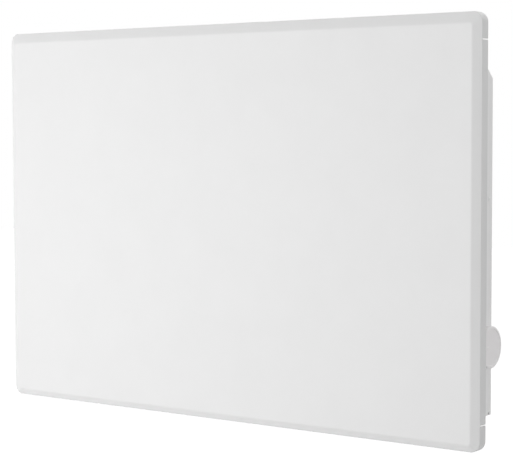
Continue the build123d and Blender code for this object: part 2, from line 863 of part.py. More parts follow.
with BuildPart() as thermostat_body:
    with BuildSketch(across(thermostat_left_x)):
        with Locations(thermostat_at):
            RectangleRounded(thermostat_width, thermostat_height, thermostat_corner_radius)
    extrude(amount=thermostat_length)
    with BuildSketch(across(housing_inner_half)):
        with Locations(thermostat_at):
            Circle(neck_radius)
    extrude(amount=neck_length)
    with BuildSketch(across(thermostat_left_x)):
        with Locations((live_post_y, post_z), (switched_post_y, post_z)):
            Circle(post_radius)
    extrude(amount=-post_length)
    with BuildSketch(across(shaft_bore_start_x)):
        with Locations(thermostat_at):
            Circle(shaft_radius + shaft_running_clearance)
    extrude(amount=neck_end_x - shaft_bore_start_x, mode=Mode.SUBTRACT)
thermostat_body.part.label = "thermostat_body"
export_step(thermostat_body.part, "parts/thermostat_body.step")

with BuildPart() as thermostat_nut:
    with BuildSketch(across(housing_half)):
        with Locations(thermostat_at):
            RegularPolygon(nut_across_flats / 2, 6, major_radius=False)
            Circle(neck_radius + thread_clearance, mode=Mode.SUBTRACT)
    extrude(amount=nut_height)
thermostat_nut.part.label = "thermostat_nut"
export_step(thermostat_nut.part, "parts/thermostat_nut.step")

knob_outer_x = housing_half + knob_protrusion
knob_inner_x = housing_half + knob_wall_gap
knob_floor_x = knob_outer_x - knob_top_thickness
hub_start_x = neck_end_x + knob_hub_clearance
shaft_start_x = shaft_bore_start_x + running_clearance
shaft_flat_y = depth_y(thermostat_depth) + shaft_radius - shaft_flat

with BuildPart() as thermostat_shaft:
    with BuildSketch(across(shaft_start_x)):
        with Locations(thermostat_at):
            Circle(shaft_radius)
    extrude(amount=knob_floor_x - shaft_start_x)
    with BuildSketch(across(hub_start_x)):
        with Locations((shaft_flat_y + shaft_flat, thermostat_z)):
            Rectangle(2 * shaft_flat, 2 * shaft_radius)
    extrude(amount=knob_floor_x - hub_start_x, mode=Mode.SUBTRACT)
thermostat_shaft.part.label = "thermostat_shaft"
export_step(thermostat_shaft.part, "parts/thermostat_shaft.step")

with BuildPart() as thermostat_knob:
    with BuildSketch(across(knob_inner_x)):
        with Locations(thermostat_at):
            Circle(knob_radius)
    extrude(amount=knob_outer_x - knob_inner_x)
    fillet(thermostat_knob.faces().sort_by(Axis.X)[-1].edges(), knob_edge_radius)
    with BuildSketch(across(knob_inner_x)):
        with Locations(thermostat_at):
            Circle(knob_radius - knob_rim_thickness)
    extrude(amount=knob_floor_x - knob_inner_x, mode=Mode.SUBTRACT)
    with BuildSketch(across(hub_start_x)):
        with Locations(thermostat_at):
            Circle(knob_hub_radius)
            Circle(shaft_radius + knob_bore_clearance, mode=Mode.SUBTRACT)
        with Locations((shaft_flat_y + knob_bore_clearance + shaft_flat / 2, thermostat_z)):
            Rectangle(shaft_flat, 2 * shaft_radius)
    extrude(amount=knob_floor_x - hub_start_x)
    with BuildSketch(across(knob_inner_x)):
        with Locations(thermostat_at):
            with PolarLocations(knob_radius + knob_flute_radius / 2, knob_flutes):
                Circle(knob_flute_radius)
    extrude(amount=knob_outer_x - knob_edge_radius - knob_inner_x, mode=Mode.SUBTRACT)
thermostat_knob.part.label = "thermostat_knob"
export_step(thermostat_knob.part, "parts/thermostat_knob.step")

# ---------------------------------------------------------------- sensing bulb and its clips

bulb_at = (depth_y(bulb_depth), bulb_z)
bulb_right_x = bulb_left_x + bulb_length
clip_bore_radius = bulb_radius + clip_gap

with BuildPart() as sensing_bulb:
    with BuildSketch(across(bulb_left_x)):
        with Locations(bulb_at):
            Circle(bulb_radius)
    extrude(amount=bulb_length)
    fillet(sensing_bulb.edges().filter_by(GeomType.CIRCLE), bulb_edge_radius)
sensing_bulb.part.label = "sensing_bulb"
export_step(sensing_bulb.part, "parts/sensing_bulb.step")

with BuildPart() as bulb_clips:
    for clip_x in (bulb_left_x + clip_inset, bulb_right_x - clip_inset):
        with BuildSketch(across(clip_x - clip_width / 2)):
            with Locations(bulb_at):
                Circle(clip_bore_radius + clip_sheet)
            with Locations((depth_y(bulb_depth), (housing_floor_z + bulb_z) / 2)):
                Rectangle(2 * clip_sheet, bulb_z - housing_floor_z)
            with Locations((depth_y(bulb_depth), housing_floor_z + clip_sheet / 2)):
                Rectangle(clip_foot, clip_sheet)
            with Locations(bulb_at):
                Circle(clip_bore_radius, mode=Mode.SUBTRACT)
        extrude(amount=clip_width)
bulb_clips.part.label = "bulb_clips"
export_step(bulb_clips.part, "parts/bulb_clips.step")

# ---------------------------------------------------------------- terminal block and earth screw

block_front_depth = rear_wall_inner_depth - block_thickness
block_screw_depth = block_front_depth + block_screw_seat
live_pole_x = block_x - block_pole_pitch
earth_pole_x = block_x + block_pole_pitch
pole_points = [(x, block_z) for x in (live_pole_x, block_x, earth_pole_x)]

with BuildPart() as terminal_block:
    with BuildSketch(facing_room(rear_wall_inner_depth)):
        with Locations((block_x, block_z)):
            RectangleRounded(block_width, block_height, block_corner_radius)
    extrude(amount=block_thickness)
    with BuildSketch(facing_room(block_screw_depth)):
        with Locations(*pole_points):
            Circle(block_screw_radius + screw_hole_clearance)
    extrude(amount=block_screw_seat, mode=Mode.SUBTRACT)
terminal_block.part.label = "terminal_block"
export_step(terminal_block.part, "parts/terminal_block.step")

with BuildPart() as block_screws:
    with BuildSketch(facing_room(block_screw_depth)):
        with Locations(*pole_points):
            Circle(block_screw_radius)
    extrude(amount=block_screw_seat + block_screw_proud)
block_screws.part.label = "block_screws"
export_step(block_screws.part, "parts/block_screws.step")

with BuildPart() as earth_screw:
    with BuildSketch(facing_room(rear_wall_inner_depth)):
        with Locations((earth_x, earth_z)):
            Circle(screw_head_radius)
    extrude(amount=screw_head_height)
    with BuildSketch(facing_room(housing_rear_depth + earth_screw_tail)):
        with Locations((earth_x, earth_z)):
            Circle(screw_radius)
    extrude(amount=housing_sheet + earth_screw_tail)
earth_screw.part.label = "earth_screw"
export_step(earth_screw.part, "parts/earth_screw.step")

# ---------------------------------------------------------------- cable gland

gland_at = (gland_x, depth_y(gland_depth))
gland_bottom_z = housing_bottom_z - gland_flange_height - gland_neck_height
gland_top_z = housing_floor_z + gland_thread_above

with BuildPart() as cable_gland:
    with BuildSketch(Plane.XY.offset(housing_bottom_z)):
        with Locations(gland_at):
            Circle(gland_flange_radius)
    extrude(amount=-gland_flange_height)
    with BuildSketch(Plane.XY.offset(housing_bottom_z - gland_flange_height)):
        with Locations(gland_at):
            Circle(gland_neck_radius)
    extrude(amount=-gland_neck_height)
    with BuildSketch(Plane.XY.offset(housing_bottom_z)):
        with Locations(gland_at):
            Circle(gland_thread_radius)
    extrude(amount=gland_top_z - housing_bottom_z)
    with BuildSketch(Plane.XY.offset(gland_bottom_z)):
        with Locations(gland_at):
            Circle(gland_bore_radius)
    extrude(amount=gland_top_z - gland_bottom_z, mode=Mode.SUBTRACT)
cable_gland.part.label = "cable_gland"
export_step(cable_gland.part, "parts/cable_gland.step")

with BuildPart() as gland_nut:
    with BuildSketch(Plane.XY.offset(housing_floor_z)):
        with Locations(gland_at):
            RegularPolygon(gland_nut_across_flats / 2, 6, major_radius=False)
            Circle(gland_thread_radius + thread_clearance, mode=Mode.SUBTRACT)
    extrude(amount=gland_nut_height)
gland_nut.part.label = "gland_nut"
export_step(gland_nut.part, "parts/gland_nut.step")

# ---------------------------------------------------------------- capillary and internal leads


def bent_wire(points, bend_radius, wire_radius):
    """Round wire along straight runs joined by arcs."""
    with BuildPart() as wire:
        with BuildLine() as route:
            FilletPolyline(*points, radius=bend_radius)
        with BuildSketch(Plane(origin=route.line @ 0, z_dir=route.line % 0)):
            Circle(wire_radius)
        sweep(path=route.line)
    return wire.part


capillary_x = thermostat_left_x - capillary_from_thermostat
capillary_z = thermostat_z - post_offset_z
capillary_route = [
    (bulb_right_x, depth_y(bulb_depth), bulb_z),
    (capillary_x, depth_y(bulb_depth), bulb_z),
    (capillary_x, depth_y(thermostat_depth), capillary_z),
    (thermostat_left_x, depth_y(thermostat_depth), capillary_z),
]

with BuildPart() as capillary_tube:
    add(bent_wire(capillary_route, capillary_bend, capillary_radius))
capillary_tube.part.label = "capillary_tube"
export_step(capillary_tube.part, "parts/capillary_tube.step")

pole_y = depth_y(rear_wall_inner_depth - block_thickness / 2)
block_bottom_z = block_z - block_height / 2
block_top_z = block_z + block_height / 2
post_end_x = thermostat_left_x - post_length
left_tab_x = cutout_x - cutout_tab_pitch / 2
right_tab_x = cutout_x + cutout_tab_pitch / 2
left_pin_x = pin_left_x - pin_length / 2
right_pin_x = pin_right_x + pin_length / 2
pin_top_z = element_z + pin_radius
element_y = depth_y(element_depth)

live_route = [
    (live_pole_x, pole_y, block_bottom_z),
    (live_pole_x, pole_y, block_bottom_z - 2 * short_lead_bend),
    (live_pole_x, live_post_y, post_z),
    (post_end_x, live_post_y, post_z),
]
switched_route = [
    (post_end_x, switched_post_y, post_z),
    (control_shield_x - 2 * lead_bend, switched_post_y, post_z),
    (bracket_right_x + lead_bend, switched_post_y, cutout_tab_top_z - short_lead_bend),
    (bracket_right_x - 3 * lead_bend, cutout_y, cutout_tab_top_z + lead_rise),
    (right_tab_x, cutout_y, cutout_tab_top_z + lead_rise),
    (right_tab_x, cutout_y, cutout_tab_top_z),
]
element_lead_route = [
    (left_tab_x, cutout_y, cutout_tab_top_z),
    (left_tab_x, cutout_y, cutout_tab_top_z + 2 * lead_rise),
    (bracket_right_x - 3 * lead_bend, cutout_y + lead_bend, cutout_tab_top_z + 2 * lead_rise),
    (right_pin_x, cutout_y, cutout_tab_top_z),
    (right_pin_x, element_y, pin_top_z + 3 * lead_bend),
    (right_pin_x, element_y, pin_top_z),
]
neutral_route = [
    (block_x, pole_y, block_top_z),
    (block_x, pole_y, neutral_z),
    (left_pin_x + 2 * lead_bend, pole_y, neutral_z),
    (left_pin_x, element_y, neutral_z - 4 * lead_bend),
    (left_pin_x, element_y, pin_top_z),
]
earth_route = [
    (earth_pole_x, pole_y, block_top_z),
    (earth_pole_x, pole_y, block_top_z + 2 * short_lead_bend),
    (earth_x, depth_y(rear_wall_inner_depth - lead_radius - lead_gap),
     earth_z - screw_head_radius - 1.5 * short_lead_bend),
    (earth_x, depth_y(rear_wall_inner_depth - lead_radius - lead_gap), earth_z - screw_head_radius),
]

with BuildPart() as lead_live:
    add(bent_wire(live_route, short_lead_bend, lead_radius))
lead_live.part.label = "lead_live"
export_step(lead_live.part, "parts/lead_live.step")

with BuildPart() as lead_switched:
    add(bent_wire(switched_route, lead_bend, lead_radius))
lead_switched.part.label = "lead_switched"
export_step(lead_switched.part, "parts/lead_switched.step")

with BuildPart() as lead_element:
    add(bent_wire(element_lead_route, lead_bend, lead_radius))
lead_element.part.label = "lead_element"
export_step(lead_element.part, "parts/lead_element.step")

with BuildPart() as lead_neutral:
    add(bent_wire(neutral_route, lead_bend, lead_radius))
lead_neutral.part.label = "lead_neutral"
export_step(lead_neutral.part, "parts/lead_neutral.step")

with BuildPart() as lead_earth:
    add(bent_wire(earth_route, short_lead_bend, lead_radius))
lead_earth.part.label = "lead_earth"
export_step(lead_earth.part, "parts/lead_earth.step")

# clips that hold the long neutral lead along the rear wall

lead_clip_bore = lead_radius + lead_gap
lead_clip_x_values = [lead_clips_middle_x + k * lead_clip_pitch for k in (-1, 0, 1)]

with BuildPart() as lead_clips:
    for clip_x in lead_clip_x_values:
        with BuildSketch(across(clip_x - clip_width / 2)):
            with Locations((pole_y, neutral_z)):
                Circle(lead_clip_bore + clip_sheet)
            with Locations(((pole_y + depth_y(rear_wall_inner_depth)) / 2, neutral_z)):
                Rectangle(depth_y(rear_wall_inner_depth) - pole_y, 2 * clip_sheet)
            with Locations((depth_y(rear_wall_inner_depth - clip_sheet / 2), neutral_z)):
                Rectangle(clip_sheet, clip_foot)
            with Locations((pole_y, neutral_z)):
                Circle(lead_clip_bore, mode=Mode.SUBTRACT)
        extrude(amount=clip_width)
lead_clips.part.label = "lead_clips"
export_step(lead_clips.part, "parts/lead_clips.step")

# ---------------------------------------------------------------- wall bracket

rail_reach = wall_gap - running_clearance
hook_tip_y = -(wall_gap + housing_sheet + running_clearance + hook_thickness)
inner_leg_x = (wall_screw_pitch_x - bracket_rail_width) / 2
crossbar_z_values = (lower_crossbar_z, upper_crossbar_z)
frame_rivet_points = [(-frame_rivet_from_wall, z) for z in crossbar_z_values]
frame_rivet_hole_radius = frame_rivet_radius + screw_hole_clearance


def bracket_rail(side):
    """Upright channel with its back on the wall and two upturned hooks on its outer leg."""
    x = side * wall_screw_pitch_x / 2
    with BuildPart() as rail:
        with BuildSketch(Plane.XY.offset(bracket_rail_bottom_z)):
            with Locations((x, -rail_reach / 2)):
                Rectangle(bracket_rail_width, rail_reach)
            with Locations((x, -rail_reach / 2 - bracket_steel)):
                Rectangle(bracket_rail_width - 2 * bracket_steel, rail_reach, mode=Mode.SUBTRACT)
        extrude(amount=bracket_rail_top_z - bracket_rail_bottom_z)
        with BuildSketch(across(side * hook_x - bracket_steel / 2)):
            for hook_z in hook_z_values:
                with BuildLine():
                    Polyline(
                        (-rail_reach + hook_neck, hook_z),
                        (hook_tip_y, hook_z),
                        (hook_tip_y, hook_z + hook_neck + hook_tab),
                        (hook_tip_y + hook_thickness, hook_z + hook_neck + hook_tab),
                        (hook_tip_y + hook_thickness, hook_z + hook_neck),
                        (-rail_reach + hook_neck, hook_z + hook_neck),
                        close=True,
                    )
                make_face()
        extrude(amount=bracket_steel)
        with BuildSketch(Plane.XZ):
            with Locations((x, wall_screw_pitch_z / 2), (x, -wall_screw_pitch_z / 2)):
                Circle(wall_screw_hole_radius)
        extrude(amount=bracket_steel, mode=Mode.SUBTRACT)
        with BuildSketch(across(side * inner_leg_x)):
            with Locations(*frame_rivet_points):
                Circle(frame_rivet_hole_radius)
        extrude(amount=side * bracket_steel, mode=Mode.SUBTRACT)
    return rail.part


with BuildPart() as bracket_rail_left:
    add(bracket_rail(-1))
bracket_rail_left.part.label = "bracket_rail_left"
export_step(bracket_rail_left.part, "parts/bracket_rail_left.step")

with BuildPart() as bracket_rail_right:
    add(bracket_rail(1))
bracket_rail_right.part.label = "bracket_rail_right"
export_step(bracket_rail_right.part, "parts/bracket_rail_right.step")


def bracket_crossbar(z):
    """Flat bar on the wall between the rails, with a riveted tab at each end."""
    with BuildPart() as crossbar:
        with BuildSketch(Plane.XY.offset(z - crossbar_height / 2)):
            with Locations((0, -bracket_steel / 2)):
                Rectangle(2 * inner_leg_x, bracket_steel)
            for side in (-1, 1):
                with Locations((side * (inner_leg_x - bracket_steel / 2), -crossbar_tab / 2)):
                    Rectangle(bracket_steel, crossbar_tab)
        extrude(amount=crossbar_height)
        with BuildSketch(across(-inner_leg_x)):
            with Locations((-frame_rivet_from_wall, z)):
                Circle(frame_rivet_hole_radius)
        extrude(amount=2 * inner_leg_x, mode=Mode.SUBTRACT)
    return crossbar.part


with BuildPart() as bracket_crossbar_lower:
    add(bracket_crossbar(lower_crossbar_z))
bracket_crossbar_lower.part.label = "bracket_crossbar_lower"
export_step(bracket_crossbar_lower.part, "parts/bracket_crossbar_lower.step")

with BuildPart() as bracket_crossbar_upper:
    add(bracket_crossbar(upper_crossbar_z))
bracket_crossbar_upper.part.label = "bracket_crossbar_upper"
export_step(bracket_crossbar_upper.part, "parts/bracket_crossbar_upper.step")

with BuildPart() as frame_rivets:
    for side in (-1, 1):
        tab_face_x = inner_leg_x - bracket_steel
        leg_face_x = inner_leg_x + bracket_steel
        with BuildSketch(across(side * tab_face_x)):
            with Locations(*frame_rivet_points):
                Circle(frame_rivet_radius)
        extrude(amount=side * (leg_face_x - tab_face_x))
        with BuildSketch(across(side * tab_face_x)):
            with Locations(*frame_rivet_points):
                Circle(frame_rivet_head_radius)
        extrude(amount=-side * frame_rivet_head_height)
        with BuildSketch(across(side * leg_face_x)):
            with Locations(*frame_rivet_points):
                Circle(frame_rivet_head_radius)
        extrude(amount=side * frame_rivet_head_height)
frame_rivets.part.label = "frame_rivets"
export_step(frame_rivets.part, "parts/frame_rivets.step")
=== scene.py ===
"""Wall panel convector heater: finishes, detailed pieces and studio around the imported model.

Metres throughout, in the model's own frame: X right, Y into the wall, Z up.
Coated sheets, bare metals, mouldings, ceramic and leads get procedural materials. Copies
of the sheets and of most inner parts get rounded edges. The thermostat knob, screws,
rivets and cable gland are modelled in more detail than the plain solids they stand for.
"""

import json
from math import cos, pi, radians, sin

import bmesh
import bpy
from bpy.props import FloatProperty, FloatVectorProperty, IntProperty, PointerProperty
from mathutils import Euler, Matrix, Vector


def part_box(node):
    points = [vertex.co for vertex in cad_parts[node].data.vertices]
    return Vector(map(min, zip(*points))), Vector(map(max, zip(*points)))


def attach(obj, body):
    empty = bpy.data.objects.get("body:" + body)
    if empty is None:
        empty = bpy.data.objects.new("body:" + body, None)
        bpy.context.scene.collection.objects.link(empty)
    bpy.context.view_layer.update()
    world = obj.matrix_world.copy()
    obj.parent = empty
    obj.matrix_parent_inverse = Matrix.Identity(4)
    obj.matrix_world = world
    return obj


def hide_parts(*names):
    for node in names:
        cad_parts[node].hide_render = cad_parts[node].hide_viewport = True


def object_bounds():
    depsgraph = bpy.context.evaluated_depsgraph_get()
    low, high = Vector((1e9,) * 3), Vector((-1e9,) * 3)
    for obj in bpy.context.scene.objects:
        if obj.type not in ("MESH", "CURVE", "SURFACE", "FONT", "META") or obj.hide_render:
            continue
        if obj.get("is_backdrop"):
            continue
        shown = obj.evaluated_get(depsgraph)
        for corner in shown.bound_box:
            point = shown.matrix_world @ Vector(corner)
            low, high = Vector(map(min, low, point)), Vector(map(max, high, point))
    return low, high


bl_info = {
    "name": "Panel convector heater",
    "version": (1, 0, 0),
    "blender": (4, 5, 0),
    "location": "View3D > Sidebar > Heater",
    "description": "Finishes, detailed pieces and studio for a wall panel convector heater",
    "category": "Object",
}

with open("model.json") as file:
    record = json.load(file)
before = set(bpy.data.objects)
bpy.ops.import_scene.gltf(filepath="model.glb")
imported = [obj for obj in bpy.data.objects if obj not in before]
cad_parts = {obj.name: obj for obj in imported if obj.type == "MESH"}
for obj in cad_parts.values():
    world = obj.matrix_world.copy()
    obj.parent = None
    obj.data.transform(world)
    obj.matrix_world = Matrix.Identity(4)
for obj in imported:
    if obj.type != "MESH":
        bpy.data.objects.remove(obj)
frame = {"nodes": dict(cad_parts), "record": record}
NODES = frame["nodes"]
CAD_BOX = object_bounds()
BODY_OF = {node: body for body, nodes in frame["record"]["behaviour"]["bodies"].items()
           for node in nodes}

MERGE_GAP = 0.000002          # nearer than this, two points are one
PLACE_GAP = 0.00002           # nearer than this, a point lies on a plane
FLAT_ANGLE = radians(0.4)     # faces that meet flatter than this become one face
SHARP_ANGLE = radians(28.0)   # an edge that turns by more than this can be softened
CORNER_ANGLE = radians(60.0)  # softened copies are shaded smooth up to this turn
SMOOTH_ANGLE = radians(22.0)  # turned pieces are shaded smooth up to this turn
EDGE_STEPS = 2                # faces across a softened edge
FOLD_STEPS = 4                # faces across a fold
QUARTER_STEPS = 6             # faces along the quarter arc of a dome or a rounded rim

# ------------ settings


def swatch(name, description, default):
    """A colour that a user can change."""
    return FloatVectorProperty(name=name, description=description, default=default,
                               subtype="COLOR", size=3, min=0.0, max=1.0)


def measure(name, description, default, subtype="DISTANCE"):
    """A number that a user can change; it is a length unless its subtype says otherwise."""
    return FloatProperty(name=name, description=description, default=default, subtype=subtype)


class HeaterCoatSettings(bpy.types.PropertyGroup):
    """Powder coat of the cover, the housing and the wall bracket."""

    # the cover's white is darker than a plain white coat: painted shade that stands in for the
    # shade on the cover's side flange
    cover_white_painted_shade: swatch("Cover white", "Front cover's coat", (0.77, 0.77, 0.77))
    # the housing's white is lighter than a plain white coat: painted light that stands in for the
    # light on the housing's sides
    housing_white_painted_light: swatch("Housing white", "Housing's coat", (0.92, 0.92, 0.92))
    bracket_white: swatch("Bracket white", "Wall bracket's coat", (0.80, 0.81, 0.81))
    roughness: FloatProperty(name="Coat roughness", description="Roughness of the satin coat",
                             default=0.46, subtype="FACTOR", min=0.0, max=1.0)
    peel_size: measure("Orange peel size", "Width of one ripple of the coat", 0.0011)
    peel_depth: measure("Orange peel depth", "Height of the coat's ripples", 0.000012)


class HeaterMetalSettings(bpy.types.PropertyGroup):
    """Darker and lighter shade of each bare metal."""

    zinc_dark: swatch("Zinc, dark", "Darker grains of the galvanised sheets", (0.50, 0.52, 0.53))
    zinc_light: swatch("Zinc, light", "Lighter grains of the galvanised sheets", (0.58, 0.60, 0.61))
    steel_dark: swatch("Steel, dark", "Darker patches of the plated steel", (0.62, 0.62, 0.60))
    steel_light: swatch("Steel, light", "Lighter patches of the plated steel", (0.70, 0.70, 0.69))
    aluminium_dark: swatch("Aluminium, dark", "Darker lines of the element", (0.66, 0.66, 0.67))
    aluminium_light: swatch("Aluminium, light", "Lighter lines of the element", (0.76, 0.76, 0.77))
    copper_dark: swatch("Copper, dark", "Tarnished patches of bulb and tube", (0.42, 0.20, 0.12))
    copper_light: swatch("Copper, light", "Clean patches of bulb and tube", (0.76, 0.40, 0.25))


class HeaterMouldingSettings(bpy.types.PropertyGroup):
    """Colours of the plastic, nylon and ceramic pieces."""

    knob_grey: swatch("Knob", "Thermostat knob", (0.96, 0.942, 0.947))
    dark_plastic: swatch("Dark plastic", "Thermostat, cut-out and gland", (0.035, 0.033, 0.032))
    nylon: swatch("Nylon", "Terminal block and lead clips", (0.80, 0.79, 0.74))
    ceramic: swatch("Ceramic", "Insulators and bushes of the element", (0.84, 0.80, 0.72))


class HeaterLeadSettings(bpy.types.PropertyGroup):
    """Sleeve colours of the internal leads."""

    live: swatch("Live", "Live lead", (0.16, 0.065, 0.03))
    switched: swatch("Switched", "Switched lead and element lead", (0.03, 0.03, 0.03))
    neutral: swatch("Neutral", "Neutral lead", (0.03, 0.10, 0.38))
    earth_green: swatch("Earth", "Earth lead", (0.09, 0.33, 0.07))
    earth_yellow: swatch("Earth stripe", "Stripe of the earth lead", (0.80, 0.66, 0.05))


class HeaterEdgeSettings(bpy.types.PropertyGroup):
    """Widths of the rounded edges."""

    cover_edge: measure("Cover edge", "Rounding of the front cover's edges", 0.0003)
    sheet_edge: measure("Sheet edge", "Rounding of the other sheets' edges", 0.00025)
    thin_edge: measure("Thin sheet edge", "Rounding of the thin shields' edges", 0.00012)
    moulded_edge: measure("Moulded edge", "Rounding of moulded and ceramic edges", 0.0005)
    metal_edge: measure("Metal edge", "Rounding of nuts, pins, clips and the element", 0.0003)
    fold_radius: measure("Fold radius", "Outer radius of the housing's folds", 0.0004)
    base_fold_radius: measure("Base fold radius", "Outer radius round the base plate", 0.0003)


class HeaterKnobSettings(bpy.types.PropertyGroup):
    """Shape of the thermostat knob."""

    flutes: IntProperty(name="Flutes", description="Grooves round the grip", default=30,
                        min=6, max=60)
    flute_depth: measure("Flute depth", "Depth of one groove", 0.0005)
    edge_radius: measure("Knob edge", "Rounding of the outer edge", 0.0015)
    dish_depth: measure("Dish depth", "Depth of the face inside its rim", 0.0006)
    pointer_width: measure("Pointer width", "Width of the raised pointer", 0.0020)


class HeaterStageSettings(bpy.types.PropertyGroup):
    """Camera, light and floor."""

    lens: measure("Lens", "Focal length on a 36 mm wide sensor", 111.99, "DISTANCE_CAMERA")
    camera_place: FloatVectorProperty(
        name="Camera place", description="Where the camera stands", subtype="TRANSLATION",
        size=3, default=(0.8965, -1.2643, 0.0888))
    camera_yaw: measure("Camera yaw", "Turn of the view to the left", radians(35.918), "ANGLE")
    camera_pitch: measure("Camera pitch", "Upward tilt of the view", radians(-3.745), "ANGLE")
    camera_roll: measure("Camera roll", "Turn about the line of sight", radians(-0.155), "ANGLE")
    room_light: measure("Room light", "Strength of the even light near the horizon", 0.977, "NONE")
    ceiling_light: measure("Ceiling light", "Strength of the even light from above", 0.01, "NONE")
    key_light: measure("Key light", "Power of the lamp on the front left", 3.92, "POWER")
    front_light: measure("Front light", "Power of the lamp in front", 3.26, "POWER")
    side_light: measure("Side light", "Power of the lamp on the left", 1.94, "POWER")
    top_light: measure("Top light", "Power of the lamp on the upper right", 2.82, "POWER")
    back_light: measure("Back light", "Power of the lamp above and behind", 5.65, "POWER")
    floor_white: measure("Floor white", "Light added where the floor is seen", 0.78, "NONE")
    floor_drop: measure("Floor drop", "Distance from the panel's lower edge to the floor", 0.42)


SETTINGS = {
    "heater_coat": HeaterCoatSettings,
    "heater_metal": HeaterMetalSettings,
    "heater_moulding": HeaterMouldingSettings,
    "heater_leads": HeaterLeadSettings,
    "heater_edges": HeaterEdgeSettings,
    "heater_knob": HeaterKnobSettings,
    "heater_stage": HeaterStageSettings,
}

# ------------ material helpers

# nearly all of a noise pattern lies between these
NOISE_LOW = 0.3
NOISE_HIGH = 0.7

# colour sockets of a Mix node
MIX_FACTOR = 0
MIX_FIRST = 6
MIX_SECOND = 7
MIX_RESULT = 2


def add_node(tree, kind, inputs=None, **modes):
    """A new node. An input that is given a socket is linked to it; others take the value."""
    node = tree.nodes.new("ShaderNode" + kind)
    for name, mode in modes.items():
        setattr(node, name, mode)
    for key, value in (inputs or {}).items():
        if isinstance(value, bpy.types.NodeSocket):
            tree.links.new(value, node.inputs[key])
        else:
            node.inputs[key].default_value = value
    return node


def new_material(name, metallic=0.0, roughness=0.5, stretch=(1.0, 1.0, 1.0)):
    """A plain material for a finish to feed its patterns to, and the vector for them.

    The vector is the object's coordinates through a mapping that can stretch the pattern."""
    material = bpy.data.materials.new(name + "_finish")
    material.use_nodes = True
    tree = material.node_tree
    inputs = tree.nodes["Principled BSDF"].inputs
    inputs["Metallic"].default_value = metallic
    inputs["Roughness"].default_value = roughness
    place = add_node(tree, "TexCoord")
    mapping = add_node(tree, "Mapping", {"Vector": place.outputs["Object"], "Scale": stretch})
    return material, mapping.outputs["Vector"]


def feed(material, name, value):
    """Links a pattern to an input of a material's shader."""
    shader = material.node_tree.nodes["Principled BSDF"]
    material.node_tree.links.new(value, shader.inputs[name])


def noise(vector, scale, detail=2.0, roughness=0.5):
    """Noise pattern on a vector, in the vector's own tree."""
    node = add_node(vector.id_data, "TexNoise", {
        "Vector": vector, "Scale": scale, "Detail": detail, "Roughness": roughness})
    return node.outputs["Fac"]


def spread(value, low=0.0, high=1.0):
    """A pattern spread between two numbers."""
    node = add_node(value.id_data, "MapRange", {
        "Value": value, "From Min": NOISE_LOW, "From Max": NOISE_HIGH,
        "To Min": low, "To Max": high})
    return node.outputs["Result"]


def tint(material, value, dark, light):
    """Base colour that runs from a dark shade to a light one with a pattern."""
    mix = add_node(value.id_data, "Mix", {
        MIX_FACTOR: value, MIX_FIRST: (*dark, 1.0), MIX_SECOND: (*light, 1.0)}, data_type="RGBA")
    feed(material, "Base Color", mix.outputs[MIX_RESULT])


def gloss(material, value, low, high):
    """Roughness that runs between two numbers with a pattern."""
    feed(material, "Roughness", spread(value, low, high))


def relief(material, value, depth, strength):
    """Bump from a pattern, with its depth in metres."""
    bump = add_node(value.id_data, "Bump", {
        "Height": value, "Distance": depth, "Strength": strength})
    feed(material, "Normal", bump.outputs["Normal"])


def shade(colour, factor):
    """A colour made a little darker or lighter."""
    return tuple(min(1.0, part * factor) for part in colour)


def assign(material, *names):
    """Puts one material on every slot of CAD nodes."""
    for name in names:
        slots = NODES[name].material_slots
        if not slots:
            NODES[name].data.materials.append(material)
        for slot in slots:
            slot.material = material


# ------------ finishes


def powder_coat(name, colour):
    """Satin powder coat: fine orange peel, a trace of mottle and uneven gloss."""
    coat = bpy.context.scene.heater_coat
    material, vector = new_material(name)
    peel = noise(vector, scale=1.0 / coat.peel_size, detail=1.5, roughness=0.45)
    relief(material, peel, coat.peel_depth, strength=0.7)
    mottle = noise(vector, scale=26.0, detail=3.0, roughness=0.55)
    tint(material, spread(mottle), shade(colour, 0.992), shade(colour, 1.006))
    sheen = noise(vector, scale=90.0)
    gloss(material, sheen, coat.roughness - 0.03, coat.roughness + 0.03)
    return material


class HEATER_OT_coat_sheet_metal(bpy.types.Operator):
    """Gives the cover, the housing and the wall bracket their powder coats"""

    bl_idname = "heater.coat_sheet_metal"
    bl_label = "Coat sheet metal"

    def execute(self, context):
        coat = context.scene.heater_coat
        # the cover's coat is darker (painted shade) and the housing's coat lighter (painted light)
        # than one plain white
        assign(powder_coat("cover_coat", coat.cover_white_painted_shade),
               "front_cover", "cover_rail_left", "cover_rail_right")
        assign(powder_coat("housing_coat", coat.housing_white_painted_light),
               "housing_front_frame", "housing_base", "rear_housing", "housing_side_left",
               "housing_side_right", "corner_rivets")
        assign(powder_coat("bracket_coat", coat.bracket_white),
               "bracket_rail_left", "bracket_rail_right", "bracket_crossbar_lower",
               "bracket_crossbar_upper")
        return {"FINISHED"}


def zinc_spangle(metal):
    """Galvanised sheet: grains with bent edges, of slightly different grey and gloss."""
    material, vector = new_material("zinc_sheet", metallic=1.0)
    tree = material.node_tree
    warp = add_node(tree, "TexNoise", {"Vector": vector, "Scale": 260.0})
    bent = add_node(tree, "VectorMath", {
        0: warp.outputs["Color"], 1: (0.004, 0.004, 0.004), 2: vector}, operation="MULTIPLY_ADD")
    grains = add_node(tree, "TexVoronoi", {"Vector": bent.outputs["Vector"], "Scale": 170.0})
    grey = add_node(tree, "SeparateColor", {"Color": grains.outputs["Color"]})
    tint(material, grey.outputs["Red"], metal.zinc_dark, metal.zinc_light)
    gloss(material, grey.outputs["Green"], 0.38, 0.46)
    relief(material, noise(vector, scale=900.0), depth=0.00001, strength=0.4)
    return material


def plated_steel(metal):
    """Bright zinc plate with faint turning marks."""
    material, vector = new_material("plated_steel", metallic=1.0)
    marks = noise(vector, scale=700.0, detail=3.0, roughness=0.6)
    tint(material, noise(vector, scale=60.0), metal.steel_dark, metal.steel_light)
    gloss(material, marks, 0.22, 0.38)
    relief(material, marks, depth=0.000006, strength=0.5)
    return material


